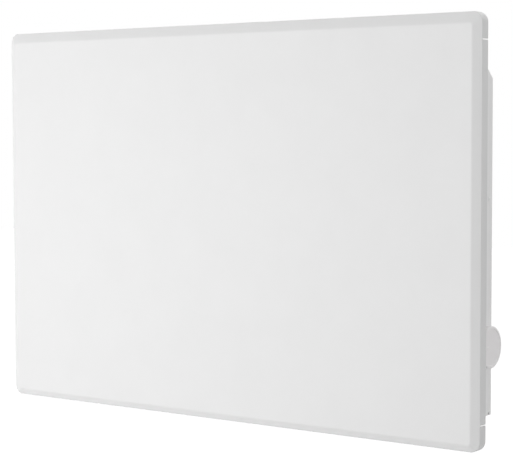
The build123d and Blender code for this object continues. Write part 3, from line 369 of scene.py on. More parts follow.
def extruded_aluminium(metal):
    """Drawn aluminium with fine lines along the element."""
    material, vector = new_material("extruded_aluminium", metallic=1.0, stretch=(0.02, 1.0, 1.0))
    lines = noise(vector, scale=1400.0, detail=3.0, roughness=0.6)
    tint(material, lines, metal.aluminium_dark, metal.aluminium_light)
    gloss(material, lines, 0.28, 0.46)
    relief(material, lines, depth=0.00001, strength=0.5)
    return material


def copper_tube(metal):
    """Copper with a light brown tarnish, which is the rougher part."""
    material, vector = new_material("copper_tube", metallic=1.0)
    tarnish = noise(vector, scale=140.0, detail=4.0, roughness=0.6)
    tint(material, spread(tarnish), metal.copper_dark, metal.copper_light)
    gloss(material, tarnish, 0.45, 0.28)
    relief(material, tarnish, depth=0.000008, strength=0.4)
    return material


class HEATER_OT_finish_metal_parts(bpy.types.Operator):
    """Gives the unpainted metal pieces their finishes"""

    bl_idname = "heater.finish_metal_parts"
    bl_label = "Finish metal parts"

    def execute(self, context):
        metal = context.scene.heater_metal
        assign(zinc_spangle(metal), "heat_shield", "corner_angles", "element_bracket_left",
               "element_bracket_right", "cutout_bracket", "control_shield", "bulb_clips")
        assign(plated_steel(metal), "cover_screws", "element_rod", "element_pins",
               "bracket_rivets", "thermostat_nut", "thermostat_shaft", "block_screws",
               "earth_screw", "frame_rivets")
        assign(extruded_aluminium(metal), "element_body")
        assign(copper_tube(metal), "sensing_bulb", "capillary_tube")
        return {"FINISHED"}


def moulded(name, colour, roughness, grain_size, grain_depth):
    """Plastic or glaze with a fine grain from its mould."""
    material, vector = new_material(name)
    grain = noise(vector, scale=1.0 / grain_size, roughness=0.6)
    relief(material, grain, grain_depth, strength=0.6)
    flow = noise(vector, scale=45.0)
    tint(material, spread(flow), shade(colour, 0.985), shade(colour, 1.01))
    gloss(material, grain, roughness - 0.04, roughness + 0.04)
    return material


class HEATER_OT_finish_moulded_parts(bpy.types.Operator):
    """Gives the plastic, nylon and ceramic pieces their finishes"""

    bl_idname = "heater.finish_moulded_parts"
    bl_label = "Finish moulded parts"

    def execute(self, context):
        moulding = context.scene.heater_moulding
        assign(moulded("knob_plastic", moulding.knob_grey, roughness=0.5,
                       grain_size=0.0006, grain_depth=0.00001), "thermostat_knob")
        assign(moulded("dark_plastic", moulding.dark_plastic, roughness=0.48,
                       grain_size=0.0005, grain_depth=0.000015),
               "thermostat_body", "thermal_cutout", "cable_gland", "gland_nut")
        assign(moulded("nylon", moulding.nylon, roughness=0.42,
                       grain_size=0.0008, grain_depth=0.000008), "terminal_block", "lead_clips")
        assign(moulded("glazed_ceramic", moulding.ceramic, roughness=0.22,
                       grain_size=0.0010, grain_depth=0.000006),
               "element_insulators", "element_bushes")
        return {"FINISHED"}


def lead_sleeve(name, colour):
    """Silicone sleeve of a lead: matt, with a faint dusting."""
    material, vector = new_material(name, roughness=0.62)
    dust = noise(vector, scale=300.0, detail=3.0, roughness=0.6)
    tint(material, spread(dust), colour, shade(colour, 1.12))
    relief(material, dust, depth=0.000012, strength=0.5)
    return material


def striped_sleeve(name, colour, stripe):
    """Sleeve with a stripe of another colour that winds round it."""
    material, vector = new_material(name, roughness=0.6)
    wave = add_node(material.node_tree, "TexWave", {
        "Vector": vector, "Scale": 110.0}, bands_direction="DIAGONAL")
    step = add_node(material.node_tree, "Math", {
        0: wave.outputs["Fac"], 1: 0.5}, operation="GREATER_THAN")
    tint(material, step.outputs[0], colour, stripe)
    dust = noise(vector, scale=300.0, detail=3.0)
    relief(material, dust, depth=0.000012, strength=0.5)
    return material


class HEATER_OT_finish_leads(bpy.types.Operator):
    """Gives the internal leads their sleeve colours"""

    bl_idname = "heater.finish_leads"
    bl_label = "Finish leads"

    def execute(self, context):
        leads = context.scene.heater_leads
        assign(lead_sleeve("brown_sleeve", leads.live), "lead_live")
        assign(lead_sleeve("black_sleeve", leads.switched), "lead_switched", "lead_element")
        assign(lead_sleeve("blue_sleeve", leads.neutral), "lead_neutral")
        assign(striped_sleeve("earth_sleeve", leads.earth_green, leads.earth_yellow), "lead_earth")
        return {"FINISHED"}


# ------------ modelling helpers


def pick(*pieces):
    """Selects some objects alone and makes the first of them the active one."""
    bpy.ops.object.select_all(action="DESELECT")
    for piece in pieces:
        piece.select_set(True)
    bpy.context.view_layer.objects.active = pieces[0]


def stand_for(piece, node):
    """Lets a piece take a CAD node's place and body."""
    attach(piece, BODY_OF[node])
    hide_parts(node)


def corners_of(points):
    """Lowest and highest corner of some points."""
    return tuple(Vector([extent(point[axis] for point in points) for axis in range(3)])
                 for extent in (min, max))


def solids_of(node):
    """Lowest and highest corner of every separate solid of a CAD node."""
    mesh = bmesh.new()
    mesh.from_mesh(NODES[node].data)
    bmesh.ops.remove_doubles(mesh, verts=mesh.verts, dist=MERGE_GAP)
    left = set(mesh.verts)
    boxes = []
    while left:
        waiting = [left.pop()]
        found = []
        while waiting:
            vertex = waiting.pop()
            found.append(vertex.co.copy())
            near = {edge.other_vert(vertex) for edge in vertex.link_edges} & left
            left -= near
            waiting.extend(near)
        boxes.append(corners_of(found))
    mesh.free()
    return sorted(boxes, key=lambda box: tuple(box[0]))


def select_edges(piece, wanted):
    """In edit mode, selects the sharp edges whose two end points pass a test."""
    bpy.ops.mesh.select_mode(type="EDGE")
    bpy.ops.mesh.select_all(action="DESELECT")
    mesh = bmesh.from_edit_mesh(piece.data)
    for edge in mesh.edges:
        edge.select_set(edge.calc_face_angle(0.0) > SHARP_ANGLE
                        and wanted(*(vertex.co for vertex in edge.verts)))
    bmesh.update_edit_mesh(piece.data)


def edit_all():
    """Opens the active object in edit mode with all of it selected."""
    bpy.ops.object.mode_set(mode="EDIT")
    bpy.ops.mesh.select_all(action="SELECT")


def press_in(piece, factor, wanted):
    """Draws the vertices whose place passes a test towards the Z axis."""
    pick(piece)
    bpy.ops.object.mode_set(mode="EDIT")
    bpy.ops.mesh.select_mode(type="VERT")
    bpy.ops.mesh.select_all(action="DESELECT")
    mesh = bmesh.from_edit_mesh(piece.data)
    for vertex in mesh.verts:
        vertex.select_set(wanted(vertex.co))
    mesh.select_flush_mode()
    bmesh.update_edit_mesh(piece.data)
    bpy.ops.transform.resize(value=(factor, factor, 1.0), center_override=(0.0, 0.0, 0.0))
    bpy.ops.object.mode_set(mode="OBJECT")


def softened(node, width, wanted=lambda start, end: True, fold=None, fold_radius=0.0):
    """Copy of a CAD solid with its wanted sharp edges softened and its folds drawn rounder."""
    piece = bpy.data.objects.new(node + "_soft", NODES[node].data.copy())
    piece.data.name = piece.name
    bpy.context.scene.collection.objects.link(piece)
    pick(piece)
    bpy.ops.mesh.customdata_custom_splitnormals_clear()
    edit_all()
    bpy.ops.mesh.remove_doubles(threshold=MERGE_GAP)
    bpy.ops.mesh.dissolve_limited(angle_limit=FLAT_ANGLE)
    bpy.ops.mesh.quads_convert_to_tris(quad_method="BEAUTY", ngon_method="BEAUTY")
    widest = max(width, fold_radius)
    select_edges(piece, lambda start, end: not wanted(start, end)
                 and not (fold and fold(start, end)))
    bpy.ops.mesh.mark_sharp()
    select_edges(piece, wanted)
    bpy.ops.transform.edge_bevelweight(value=width / widest)
    if fold:
        select_edges(piece, fold)
        bpy.ops.transform.edge_bevelweight(value=1.0)
    bpy.ops.object.mode_set(mode="OBJECT")
    bpy.ops.object.shade_smooth()
    bevel = piece.modifiers.new("soft_edges", "BEVEL")
    bevel.width = widest
    bevel.segments = FOLD_STEPS if fold else EDGE_STEPS
    bevel.limit_method = "WEIGHT"
    bevel.use_clamp_overlap = False
    bevel.loop_slide = False
    bpy.ops.object.modifier_apply(modifier=bevel.name)
    edit_all()
    bpy.ops.mesh.dissolve_degenerate(threshold=MERGE_GAP)
    bpy.ops.object.mode_set(mode="OBJECT")
    bpy.ops.object.shade_smooth_by_angle(angle=CORNER_ANGLE, keep_sharp_edges=True)
    even = piece.modifiers.new("even_shading", "WEIGHTED_NORMAL")
    even.keep_sharp = True
    bpy.ops.object.modifier_apply(modifier=even.name)
    stand_for(piece, node)


def turned(stations, corners, bored=False):
    """Solid of revolution about Z: a disc drawn out and resized from one station to the next.

    A station is a radius and a height. A bored solid starts and ends at the bore's radius."""
    radius, height = stations[0]
    bpy.ops.mesh.primitive_circle_add(vertices=corners, radius=radius, fill_type="NGON",
                                      location=(0.0, 0.0, height))
    piece = bpy.context.object
    bpy.ops.object.transform_apply()
    edit_all()
    for next_radius, next_height in stations[1:]:
        bpy.ops.mesh.extrude_region_move(
            TRANSFORM_OT_translate={"value": (0.0, 0.0, next_height - height)})
        ratio = next_radius / radius
        bpy.ops.transform.resize(value=(ratio, ratio, 1.0), center_override=(0.0, 0.0, next_height))
        radius, height = next_radius, next_height
    if bored:
        bpy.ops.mesh.select_mode(type="FACE")
        bpy.ops.mesh.select_all(action="DESELECT")
        bpy.ops.mesh.select_face_by_sides(number=4, type="GREATER")
        bpy.ops.mesh.delete(type="ONLY_FACE")
        bpy.ops.mesh.select_mode(type="EDGE")
        bpy.ops.mesh.select_non_manifold()
        bpy.ops.mesh.bridge_edge_loops()
    bpy.ops.mesh.select_all(action="SELECT")
    bpy.ops.mesh.normals_make_consistent(inside=False)
    bpy.ops.object.mode_set(mode="OBJECT")
    return piece


def seat(piece, place, axis):
    """Turns a piece's Z to an axis, moves it to its place and keeps both in its mesh."""
    piece.location = place
    piece.rotation_mode = "QUATERNION"
    piece.rotation_quaternion = Vector(axis).to_track_quat("Z", "Y")
    pick(piece)
    bpy.ops.object.transform_apply()
    piece.rotation_mode = "XYZ"


def cut_away(piece, cutters):
    """Cuts other objects out of a piece and removes them."""
    for cutter in cutters:
        pick(piece)
        cut = piece.modifiers.new("cut", "BOOLEAN")
        cut.operation = "DIFFERENCE"
        cut.object = cutter
        bpy.ops.object.modifier_apply(modifier=cut.name)
        bpy.data.objects.remove(cutter)


def bar(size, place):
    """A plain bar that cuts a slot or starts the pointer."""
    bpy.ops.mesh.primitive_cube_add(size=1.0, location=place, scale=size)
    bpy.ops.object.transform_apply()
    return bpy.context.object


def set_out(master, name, seats, node):
    """Copies a master to each seat, joins the copies to one piece and removes the master.

    The piece takes the finish of the CAD node that it stands for."""
    master.data.materials.append(NODES[node].material_slots[0].material)
    made = []
    for place, axis in seats:
        pick(master)
        bpy.ops.object.duplicate()
        seat(bpy.context.object, place, axis)
        made.append(bpy.context.object)
    bpy.data.objects.remove(master)
    pick(*made)
    if len(made) > 1:
        bpy.ops.object.join()
    piece = bpy.context.object
    piece.name = piece.data.name = name
    bpy.ops.object.shade_smooth_by_angle(angle=SMOOTH_ANGLE)
    stand_for(piece, node)


def close(value, target):
    """True where a coordinate lies on a plane."""
    return abs(value - target) < PLACE_GAP


# ------------ softened sheets and mouldings

HOUSING_LOW, HOUSING_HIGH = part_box("rear_housing")
FRAME_LOW, FRAME_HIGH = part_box("housing_front_frame")
COVER_BEVEL_DEPTH = 0.0035

# the sloping top rises from the rear wall to the front frame
SLOPE_FOOT = max(vertex.co.z for vertex in NODES["rear_housing"].data.vertices
                 if close(vertex.co.y, HOUSING_HIGH.y))
SLOPE = (FRAME_HIGH.z - SLOPE_FOOT) / (HOUSING_HIGH.y - FRAME_LOW.y)

# box sides where a sheet meets its neighbours, as an axis and its low (0) or high (1) end
HOUSING_SEAMS = {
    "rear_housing": ((0, 0), (0, 1), (1, 0), (2, 0)),
    "housing_base": ((0, 0), (0, 1), (1, 0), (1, 1), (2, 1)),
    "housing_front_frame": ((0, 0), (0, 1), (1, 1), (2, 0)),
}


def outer_faces(place):
    """Names of the housing's outer faces that a point lies on."""
    distances = {
        "left": place.x - HOUSING_LOW.x,
        "right": place.x - HOUSING_HIGH.x,
        "front": place.y - FRAME_LOW.y,
        "back": place.y - HOUSING_HIGH.y,
        "base": place.z - FRAME_LOW.z,
        "top": place.z - SLOPE_FOOT - (HOUSING_HIGH.y - place.y) * SLOPE,
    }
    return {name for name, distance in distances.items() if abs(distance) < PLACE_GAP}


def housing_fold(start, end):
    """Edges where two outer faces of the housing meet."""
    return len(outer_faces(start) & outer_faces(end)) > 1


def outer_rims(node, seams):
    """A test for the outer rims of a sheet's holes, which leaves its seams out."""
    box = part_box(node)

    def test(start, end):
        at_seam = any(close(start[axis], box[side][axis]) and close(end[axis], box[side][axis])
                      for axis, side in seams)
        return not at_seam and len(outer_faces(start) & outer_faces(end)) == 1

    return test


def behind_bevel(start, end):
    """Edges of the cover's rim, behind its bevelled face."""
    fold = CAD_BOX[0][1] + COVER_BEVEL_DEPTH - PLACE_GAP
    return start.y > fold and end.y > fold


class HEATER_OT_soften_sheets(bpy.types.Operator):
    """Rounds the edges of the cover, the housing, the shields and the wall bracket"""

    bl_idname = "heater.soften_sheets"
    bl_label = "Soften sheet edges"

    def execute(self, context):
        edges = context.scene.heater_edges
        softened("front_cover", edges.cover_edge, behind_bevel)
        for node, seams in HOUSING_SEAMS.items():
            radius = edges.base_fold_radius if node == "housing_base" else edges.fold_radius
            softened(node, edges.sheet_edge, outer_rims(node, seams), housing_fold, radius)
        for node in ("cover_rail_left", "cover_rail_right", "corner_angles", "element_bracket_left",
                     "element_bracket_right", "cutout_bracket", "bulb_clips", "bracket_rail_left",
                     "bracket_rail_right", "bracket_crossbar_lower", "bracket_crossbar_upper"):
            softened(node, edges.sheet_edge)
        for node in ("heat_shield", "control_shield"):
            softened(node, edges.thin_edge)
        return {"FINISHED"}


class HEATER_OT_soften_inner_parts(bpy.types.Operator):
    """Rounds the edges of the thermostat, the terminal block, the element and its supports"""

    bl_idname = "heater.soften_inner_parts"
    bl_label = "Soften inner parts"

    def execute(self, context):
        edges = context.scene.heater_edges
        for node in ("thermostat_body", "thermal_cutout", "terminal_block", "element_bushes",
                     "element_insulators"):
            softened(node, edges.moulded_edge)
        for node in ("element_body", "element_rod", "element_pins", "thermostat_nut", "gland_nut",
                     "lead_clips"):
            softened(node, edges.metal_edge)
        return {"FINISHED"}


# ------------ fasteners

SMALL_CORNERS = 32      # corners round a rivet or a block screw
SCREW_CORNERS = 40      # corners round a cross-recessed screw
HEAD_RIM = 0.25         # straight rim of a domed head, as a share of its height
RIVET_TAIL = 0.6        # radius of a rivet's rounded tail, as a share of its shank's
THREAD_ROOT = 0.86      # radius between the rings of a thread, as a share of its own
THREAD_MARGIN = 0.0003  # bare length at both ends of a screw's thread
SCREW_RADIUS = 0.0020
SCREW_TIP = 0.5         # radius of a screw's tip, as a share of its shank's
SCREW_PITCH = 0.0007
SCREW_HEAD_RADIUS = 0.0038
SCREW_HEAD_HEIGHT = 0.0024
HEAD_MIDDLE = 0.05      # flat middle of a screw's head, as a share of its radius
RECESS_REACH = 1.15     # length of the cross, as a share of the head's radius
RECESS_WIDTH = 0.0008
RECESS_DEPTH = 0.0014
SLOT_WIDTH = 0.0007
SLOT_DEPTH = 0.0011
SLOTTED_CHAMFER = 0.0003

# pulled hole of a rivet's head: radius and depth, as shares of the head's radius and height
RIVET_HOLE = ((0.34, 0.0), (0.28, 0.45), (0.1, 0.5))
# shank of a block screw: radius and depth, as shares of its radius and length
SLOTTED_SHANK = ((0.7, 1.0), (0.9, 0.94), (0.9, 0.3), (1.0, 0.26))


def dome(radius, height, base):
    """Stations of a low domed head: a short rim, then a quarter of an ellipse."""
    rim = HEAD_RIM * height
    arc = [step * pi / 2 / QUARTER_STEPS for step in range(1, QUARTER_STEPS)]
    return ([(radius, base), (radius, base + rim)]
            + [(radius * cos(turn), base + rim + (height - rim) * sin(turn)) for turn in arc])


def blind_rivet(head_radius, head_height, shank_radius, grip, far_head):
    """Blind rivet with its seat at height 0; a far head closes the other side of the grip."""
    if far_head:
        far = [(radius, -height)
               for radius, height in reversed(dome(head_radius, head_height, grip))]
        far.append((shank_radius, -grip))
    else:
        far = [(RIVET_TAIL * shank_radius, -grip),
               (shank_radius, (1.0 - RIVET_TAIL) * shank_radius - grip), (shank_radius, -grip / 2)]
    hole = [(across * head_radius, head_height - deep * head_height) for across, deep in RIVET_HOLE]
    stations = [*far, (shank_radius, 0.0), *dome(head_radius, head_height, 0.0), *hole]
    return turned(stations, SMALL_CORNERS)


def thread(radius, low, high, pitch):
    """Stations of a screw thread, drawn as rings."""
    turns = int((high - low) / pitch)
    stations = []
    for turn in range(turns):
        stations += [(THREAD_ROOT * radius, low + turn * pitch),
                     (radius, low + (turn + 0.5) * pitch)]
    return stations + [(THREAD_ROOT * radius, low + turns * pitch)]


def middle_at(low, high, depth):
    """Point at a depth, in the middle of the width and height of a box."""
    return Vector(((low.x + high.x) / 2, depth, (low.z + high.z) / 2))


class HEATER_OT_make_rivets(bpy.types.Operator):
    """Models the domed blind rivets of the housing, the inner brackets and the wall bracket"""

    bl_idname = "heater.make_rivets"
    bl_label = "Make rivets"

    def execute(self, context):
        self.corner_rivets()
        self.through_rivets("bracket_rivets", "inner_bracket_rivets", Vector((0.0, 1.0, 0.0)),
                            shank_radius=0.0016, head_height=0.0009)
        self.through_rivets("frame_rivets", "wall_bracket_rivets", Vector((1.0, 0.0, 0.0)),
                            shank_radius=0.0020, head_height=0.0010)
        return {"FINISHED"}

    def corner_rivets(self):
        """Small rivets of the corner angles, with their heads outside."""
        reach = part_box("corner_rivets")[1].x
        seats = []
        for low, high in solids_of("corner_rivets"):
            middle = (low + high) / 2
            along_x = high.x - low.x < high.z - low.z - PLACE_GAP
            if along_x and close(max(abs(low.x), abs(high.x)), reach):
                side = 1.0 if middle.x > 0 else -1.0
                seats.append(((side * HOUSING_HIGH.x, middle.y, middle.z), (side, 0.0, 0.0)))
            else:
                seats.append(((middle.x, HOUSING_HIGH.y, middle.z), (0.0, 1.0, 0.0)))
        master = blind_rivet(head_radius=0.0019, head_height=0.0006, shank_radius=0.0012,
                             grip=0.0020, far_head=False)
        set_out(master, "corner_rivet_heads", seats, "corner_rivets")

    def through_rivets(self, node, name, axis, shank_radius, head_height):
        """Rivets with a head on both sides of what they join; those of one grip share a master."""
        solids = solids_of(node)
        head_radius = max(solids[0][1] - solids[0][0]) / 2
        seats_of = {}
        for low, high in solids:
            grip = round((high - low).dot(axis) - 2 * head_height, 6)
            middle = (low + high) / 2
            outward = 1.0 if axis.y or middle.x > 0 else -1.0
            top = high if outward > 0 else low
            place = middle + axis * ((top - middle).dot(axis) - outward * head_height)
            seats_of.setdefault(grip, []).append((place, axis * outward))
        for number, (grip, seats) in enumerate(sorted(seats_of.items())):
            master = blind_rivet(head_radius, head_height, shank_radius, grip, far_head=True)
            set_out(master, f"{name}_{number}", seats, node)


class HEATER_OT_make_screws(bpy.types.Operator):
    """Models the cross-recessed cover screws and earth screw and the slotted block screws"""

    bl_idname = "heater.make_screws"
    bl_label = "Make screws"

    def execute(self, context):
        head = SCREW_HEAD_HEIGHT
        solids = solids_of("cover_screws")
        seats = [(middle_at(low, high, high.y - head), (0, 1, 0)) for low, high in solids]
        low, high = solids[0]
        set_out(self.cross_screw(high.y - low.y - head), "cover_screw_set", seats, "cover_screws")
        low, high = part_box("earth_screw")
        seats = [(middle_at(low, high, low.y + head), (0, -1, 0))]
        set_out(self.cross_screw(high.y - low.y - head), "earth_screw_detail", seats, "earth_screw")
        self.block_screws()
        return {"FINISHED"}

    def cross_screw(self, length):
        """Domed head with a cross recess on a threaded shank."""
        piece = turned([
            (SCREW_TIP * SCREW_RADIUS, -length),
            *thread(SCREW_RADIUS, THREAD_MARGIN - length, -THREAD_MARGIN, SCREW_PITCH),
            (SCREW_RADIUS, -THREAD_MARGIN / 3), (SCREW_RADIUS, 0.0),
            *dome(SCREW_HEAD_RADIUS, SCREW_HEAD_HEIGHT, 0.0),
            (HEAD_MIDDLE * SCREW_HEAD_RADIUS, SCREW_HEAD_HEIGHT)], SCREW_CORNERS)
        reach = RECESS_REACH * SCREW_HEAD_RADIUS
        top = (0.0, 0.0, SCREW_HEAD_HEIGHT)
        cut_away(piece, [bar((reach, RECESS_WIDTH, 2 * RECESS_DEPTH), top),
                         bar((RECESS_WIDTH, reach, 2 * RECESS_DEPTH), top)])
        return piece

    def block_screws(self):
        """Flat slotted screws of the terminal block."""
        solids = solids_of("block_screws")
        low, high = solids[0]
        radius = (high.z - low.z) / 2
        length = high.y - low.y
        shank = [(across * radius, -deep * length) for across, deep in SLOTTED_SHANK]
        piece = turned([*shank, (radius, -SLOTTED_CHAMFER), (radius - SLOTTED_CHAMFER, 0.0)],
                       SMALL_CORNERS)
        cut_away(piece, [bar((3 * radius, SLOT_WIDTH, 2 * SLOT_DEPTH), (0.0, 0.0, 0.0))])
        seats = [(middle_at(low, high, low.y), (0, -1, 0)) for low, high in solids]
        set_out(piece, "block_screw_set", seats, "block_screws")


# ------------ knob and gland

SHAFT_CLEARANCE = 0.00005
HUB_RADIUS = 0.0065
HUB_FOOT = 0.0054         # height at which the hub starts, inside the hollow grip
GRIP_WALL = 0.0025
SKIRT_CHAMFER = 0.0003
RIM_WIDTH = 0.0008        # flat ring between the rounded edge and the dished face
DISH_SLOPE = 0.0006       # width of the slope from that ring down to the face
FACE_RING = 0.3           # smallest ring of the face, as a share of the knob's radius
CORNERS_PER_FLUTE = 6
FLUTE_END = 0.4           # from the top to the end of a flute, as a share of the edge's radius
POINTER_LENGTH = 0.55     # as a share of the knob's radius
POINTER_ROOT = 0.0002     # how far the pointer reaches below the face
POINTER_INSET = 0.0012    # from the rim to the pointer
POINTER_EDGE = 0.00015

GLAND_BORE = 0.004
GLAND_SEAL = 0.0052
SEAL_DEPTH = 0.0006
NUT_RADIUS = 0.0085
NUT_SHOULDER = 0.0007     # from the collar down to where the nut narrows
NUT_NECK = 0.94           # radius between the nut and the collar, as a share of the nut's
NECK_HEIGHT = 0.0003
COLLAR_HEIGHT = 0.003
LOWER_CHAMFER = 0.0005
UPPER_CHAMFER = 0.0004
GLAND_THREAD = 0.008
GLAND_THREAD_START = 0.0002
GLAND_THREAD_END = 0.93   # radius at the top of the thread, as a share of its own
GLAND_PITCH = 0.0015
RIBS = 24
CORNERS_PER_RIB = 4
RIB_GROOVE = 0.95         # radius between two ribs, as a share of the nut's

# a flute is pressed in twice: share of its width, and share of its depth
FLUTE_PRESSES = ((0.1, 0.5), (0.35, 0.6))
# rounded foot of the nut: share of its radius, and height
NUT_FOOT = ((0.8, 0.0), (0.93, 0.0005), (1.0, 0.0016))


def angle_of(place):
    """Angle of a point about Z."""
    return place.xy.angle_signed(Vector((1.0, 0.0)))


class HEATER_OT_make_knob(bpy.types.Operator):
    """Models the thermostat knob: hub, hollow grip with flutes, rounded edge and raised pointer"""

    bl_idname = "heater.make_knob"
    bl_label = "Make knob"

    def execute(self, context):
        settings = context.scene.heater_knob
        low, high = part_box("thermostat_knob")
        shaft_low, shaft_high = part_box("thermostat_shaft")
        middle = (low + high) / 2
        radius = (high.z - low.z) / 2
        depth = high.x - low.x
        bore = (shaft_high.z - shaft_low.z) / 2 + SHAFT_CLEARANCE
        floor = shaft_high.x - low.x
        inside = radius - GRIP_WALL
        edge = settings.edge_radius
        arc = [step * pi / 2 / QUARTER_STEPS for step in range(QUARTER_STEPS + 1)]
        rim = radius - edge - RIM_WIDTH
        face = depth - settings.dish_depth
        piece = turned([
            (bore, floor), (bore, HUB_FOOT), (HUB_RADIUS, HUB_FOOT), (HUB_RADIUS, floor),
            (inside, floor), (inside, 0.0), (radius - SKIRT_CHAMFER, 0.0), (radius, SKIRT_CHAMFER),
            *[(radius - edge + edge * cos(turn), depth - edge + edge * sin(turn)) for turn in arc],
            (rim, depth), (rim - DISH_SLOPE, face), (FACE_RING * radius, face)],
            settings.flutes * CORNERS_PER_FLUTE)
        flute = 2 * pi / settings.flutes
        for width, share in FLUTE_PRESSES:
            press_in(piece, 1.0 - share * settings.flute_depth / radius, lambda place: (
                place.xy.length > radius - edge / 2
                and PLACE_GAP < place.z < depth - FLUTE_END * edge
                and abs((angle_of(place) + flute / 2) % flute - flute / 2) < width * flute / 2))
        self.add_pointer(piece, radius, rim, depth, settings)
        set_out(piece, "thermostat_knob_grip", [((low.x, middle.y, middle.z), (1.0, 0.0, 0.0))],
                "thermostat_knob")
        return {"FINISHED"}

    def add_pointer(self, piece, radius, rim, depth, settings):
        """Raised line on the dished face that points to the front of the heater."""
        length = POINTER_LENGTH * radius
        low = depth - settings.dish_depth - POINTER_ROOT
        pointer = bar((length, settings.pointer_width, depth - low),
                      (length / 2 + POINTER_INSET - rim, 0.0, (low + depth) / 2))
        pick(pointer)
        edit_all()
        bpy.ops.mesh.bevel(offset=POINTER_EDGE, segments=EDGE_STEPS)
        bpy.ops.object.mode_set(mode="OBJECT")
        pick(piece, pointer)
        bpy.ops.object.join()


class HEATER_OT_make_gland(bpy.types.Operator):
    """Models the cable gland: ribbed clamping nut, collar, thread and seal round the bore"""

    bl_idname = "heater.make_gland"
    bl_label = "Make gland"

    def execute(self, context):
        low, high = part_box("cable_gland")
        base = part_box("housing_base")[0].z
        middle = (low + high) / 2
        collar = (high.x - low.x) / 2
        collar_low = base - low.z - COLLAR_HEIGHT
        collar_high = base - low.z
        top = high.z - low.z
        neck = NUT_NECK * NUT_RADIUS
        piece = turned([
            (GLAND_BORE, SEAL_DEPTH), (GLAND_SEAL, SEAL_DEPTH), (GLAND_SEAL, 0.0),
            *[(share * NUT_RADIUS, height) for share, height in NUT_FOOT],
            (NUT_RADIUS, collar_low - NUT_SHOULDER), (neck, collar_low - NECK_HEIGHT),
            (neck, collar_low), (collar - LOWER_CHAMFER, collar_low),
            (collar, collar_low + LOWER_CHAMFER), (collar, collar_high - UPPER_CHAMFER),
            (collar - UPPER_CHAMFER, collar_high), (GLAND_THREAD, collar_high),
            *thread(GLAND_THREAD, collar_high + GLAND_THREAD_START, top - UPPER_CHAMFER,
                    GLAND_PITCH),
            (GLAND_THREAD_END * GLAND_THREAD, top), (GLAND_BORE, top)],
            RIBS * CORNERS_PER_RIB, bored=True)
        rib = 2 * pi / RIBS
        press_in(piece, RIB_GROOVE, lambda place: (
            place.z < collar_low - PLACE_GAP and place.xy.length > neck + PLACE_GAP
            and (angle_of(place) + rib / 8) % rib < rib / 2))
        set_out(piece, "cable_gland_detail", [((middle.x, middle.y, low.z), (0.0, 0.0, 1.0))],
                "cable_gland")
        return {"FINISHED"}


# ------------ stage

WHITE = (1.0, 1.0, 1.0, 1.0)
FLOOR_GREY = (0.8, 0.8, 0.8, 1.0)
FLOOR_SIZE = 14.0
LAMP_SIZE = 0.9
SENSOR_WIDTH = 36.0
NEAREST_VIEW = 0.01
FARTHEST_VIEW = 50.0

# where each lamp stands, and the point that it is turned to
FACE_MIDDLE = (0.0, CAD_BOX[0][1], 0.0)
BODY_RIGHT = (0.15, -0.04, 0.0)
LAMPS = {
    "key_light": ((-0.5, -0.95, 0.0), FACE_MIDDLE),
    "front_light": ((-0.243, -1.463, 0.0), FACE_MIDDLE),
    "side_light": ((-1.597, -0.665, 0.0), FACE_MIDDLE),
    "top_light": ((1.2, -0.5, 1.0), BODY_RIGHT),
    "back_light": ((0.3, 1.0, 1.3), BODY_RIGHT),
}


def seen_rays(tree):
    """Value that is 1 for the camera, reflections and see-through rays, and 0 for other light."""
    path = add_node(tree, "LightPath")
    seen = path.outputs["Is Camera Ray"]
    for ray in ("Is Glossy Ray", "Is Transmission Ray"):
        either = add_node(tree, "Math", {0: seen, 1: path.outputs[ray]}, operation="MAXIMUM")
        seen = either.outputs[0]
    return seen


def stage_floor(context, settings):
    """Plain pale floor that keeps the heater's shadow and shows white to the camera."""
    low = CAD_BOX[0][2] - settings.floor_drop
    bpy.ops.mesh.primitive_plane_add(size=FLOOR_SIZE, location=(0.0, 0.0, low))
    floor = context.object
    floor.name = "floor"
    bpy.ops.object.transform_apply()
    material = bpy.data.materials.new("floor_white")
    material.use_nodes = True
    tree = material.node_tree
    tree.nodes.clear()
    plain = add_node(tree, "BsdfDiffuse", {"Color": FLOOR_GREY})
    lift = add_node(tree, "Math", {
        0: seen_rays(tree), 1: settings.floor_white}, operation="MULTIPLY")
    glow = add_node(tree, "Emission", {"Color": WHITE, "Strength": lift.outputs[0]})
    total = add_node(tree, "AddShader", {0: plain.outputs[0], 1: glow.outputs[0]})
    add_node(tree, "OutputMaterial", {"Surface": total.outputs[0]})
    floor.data.materials.append(material)
    floor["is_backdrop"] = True


def room_world(settings):
    """Even pale light; white where the camera, a reflection or a see-through ray meets it."""
    world = bpy.data.worlds.new("studio")
    bpy.context.scene.world = world
    world.use_nodes = True
    tree = world.node_tree
    tree.nodes.clear()
    way = add_node(tree, "TexCoord")
    parts = add_node(tree, "SeparateXYZ", {"Vector": way.outputs["Generated"]})
    strength = add_node(tree, "MapRange", {
        "Value": parts.outputs["Z"], "To Min": settings.room_light,
        "To Max": settings.ceiling_light})
    dim = add_node(tree, "Background", {"Color": WHITE, "Strength": strength.outputs["Result"]})
    white = add_node(tree, "Background", {"Color": WHITE})
    mix = add_node(tree, "MixShader", {
        "Fac": seen_rays(tree), 1: dim.outputs[0], 2: white.outputs[0]})
    add_node(tree, "OutputWorld", {"Surface": mix.outputs[0]})


def soft_lamp(name, place, aim, power):
    """Large square lamp turned to a point of the heater."""
    data = bpy.data.lights.new(name, "AREA")
    data.size = LAMP_SIZE
    data.energy = power
    lamp = bpy.data.objects.new(name, data)
    lamp.location = place
    lamp.rotation_euler = (Vector(aim) - Vector(place)).to_track_quat("-Z", "Y").to_euler()
    bpy.context.scene.collection.objects.link(lamp)


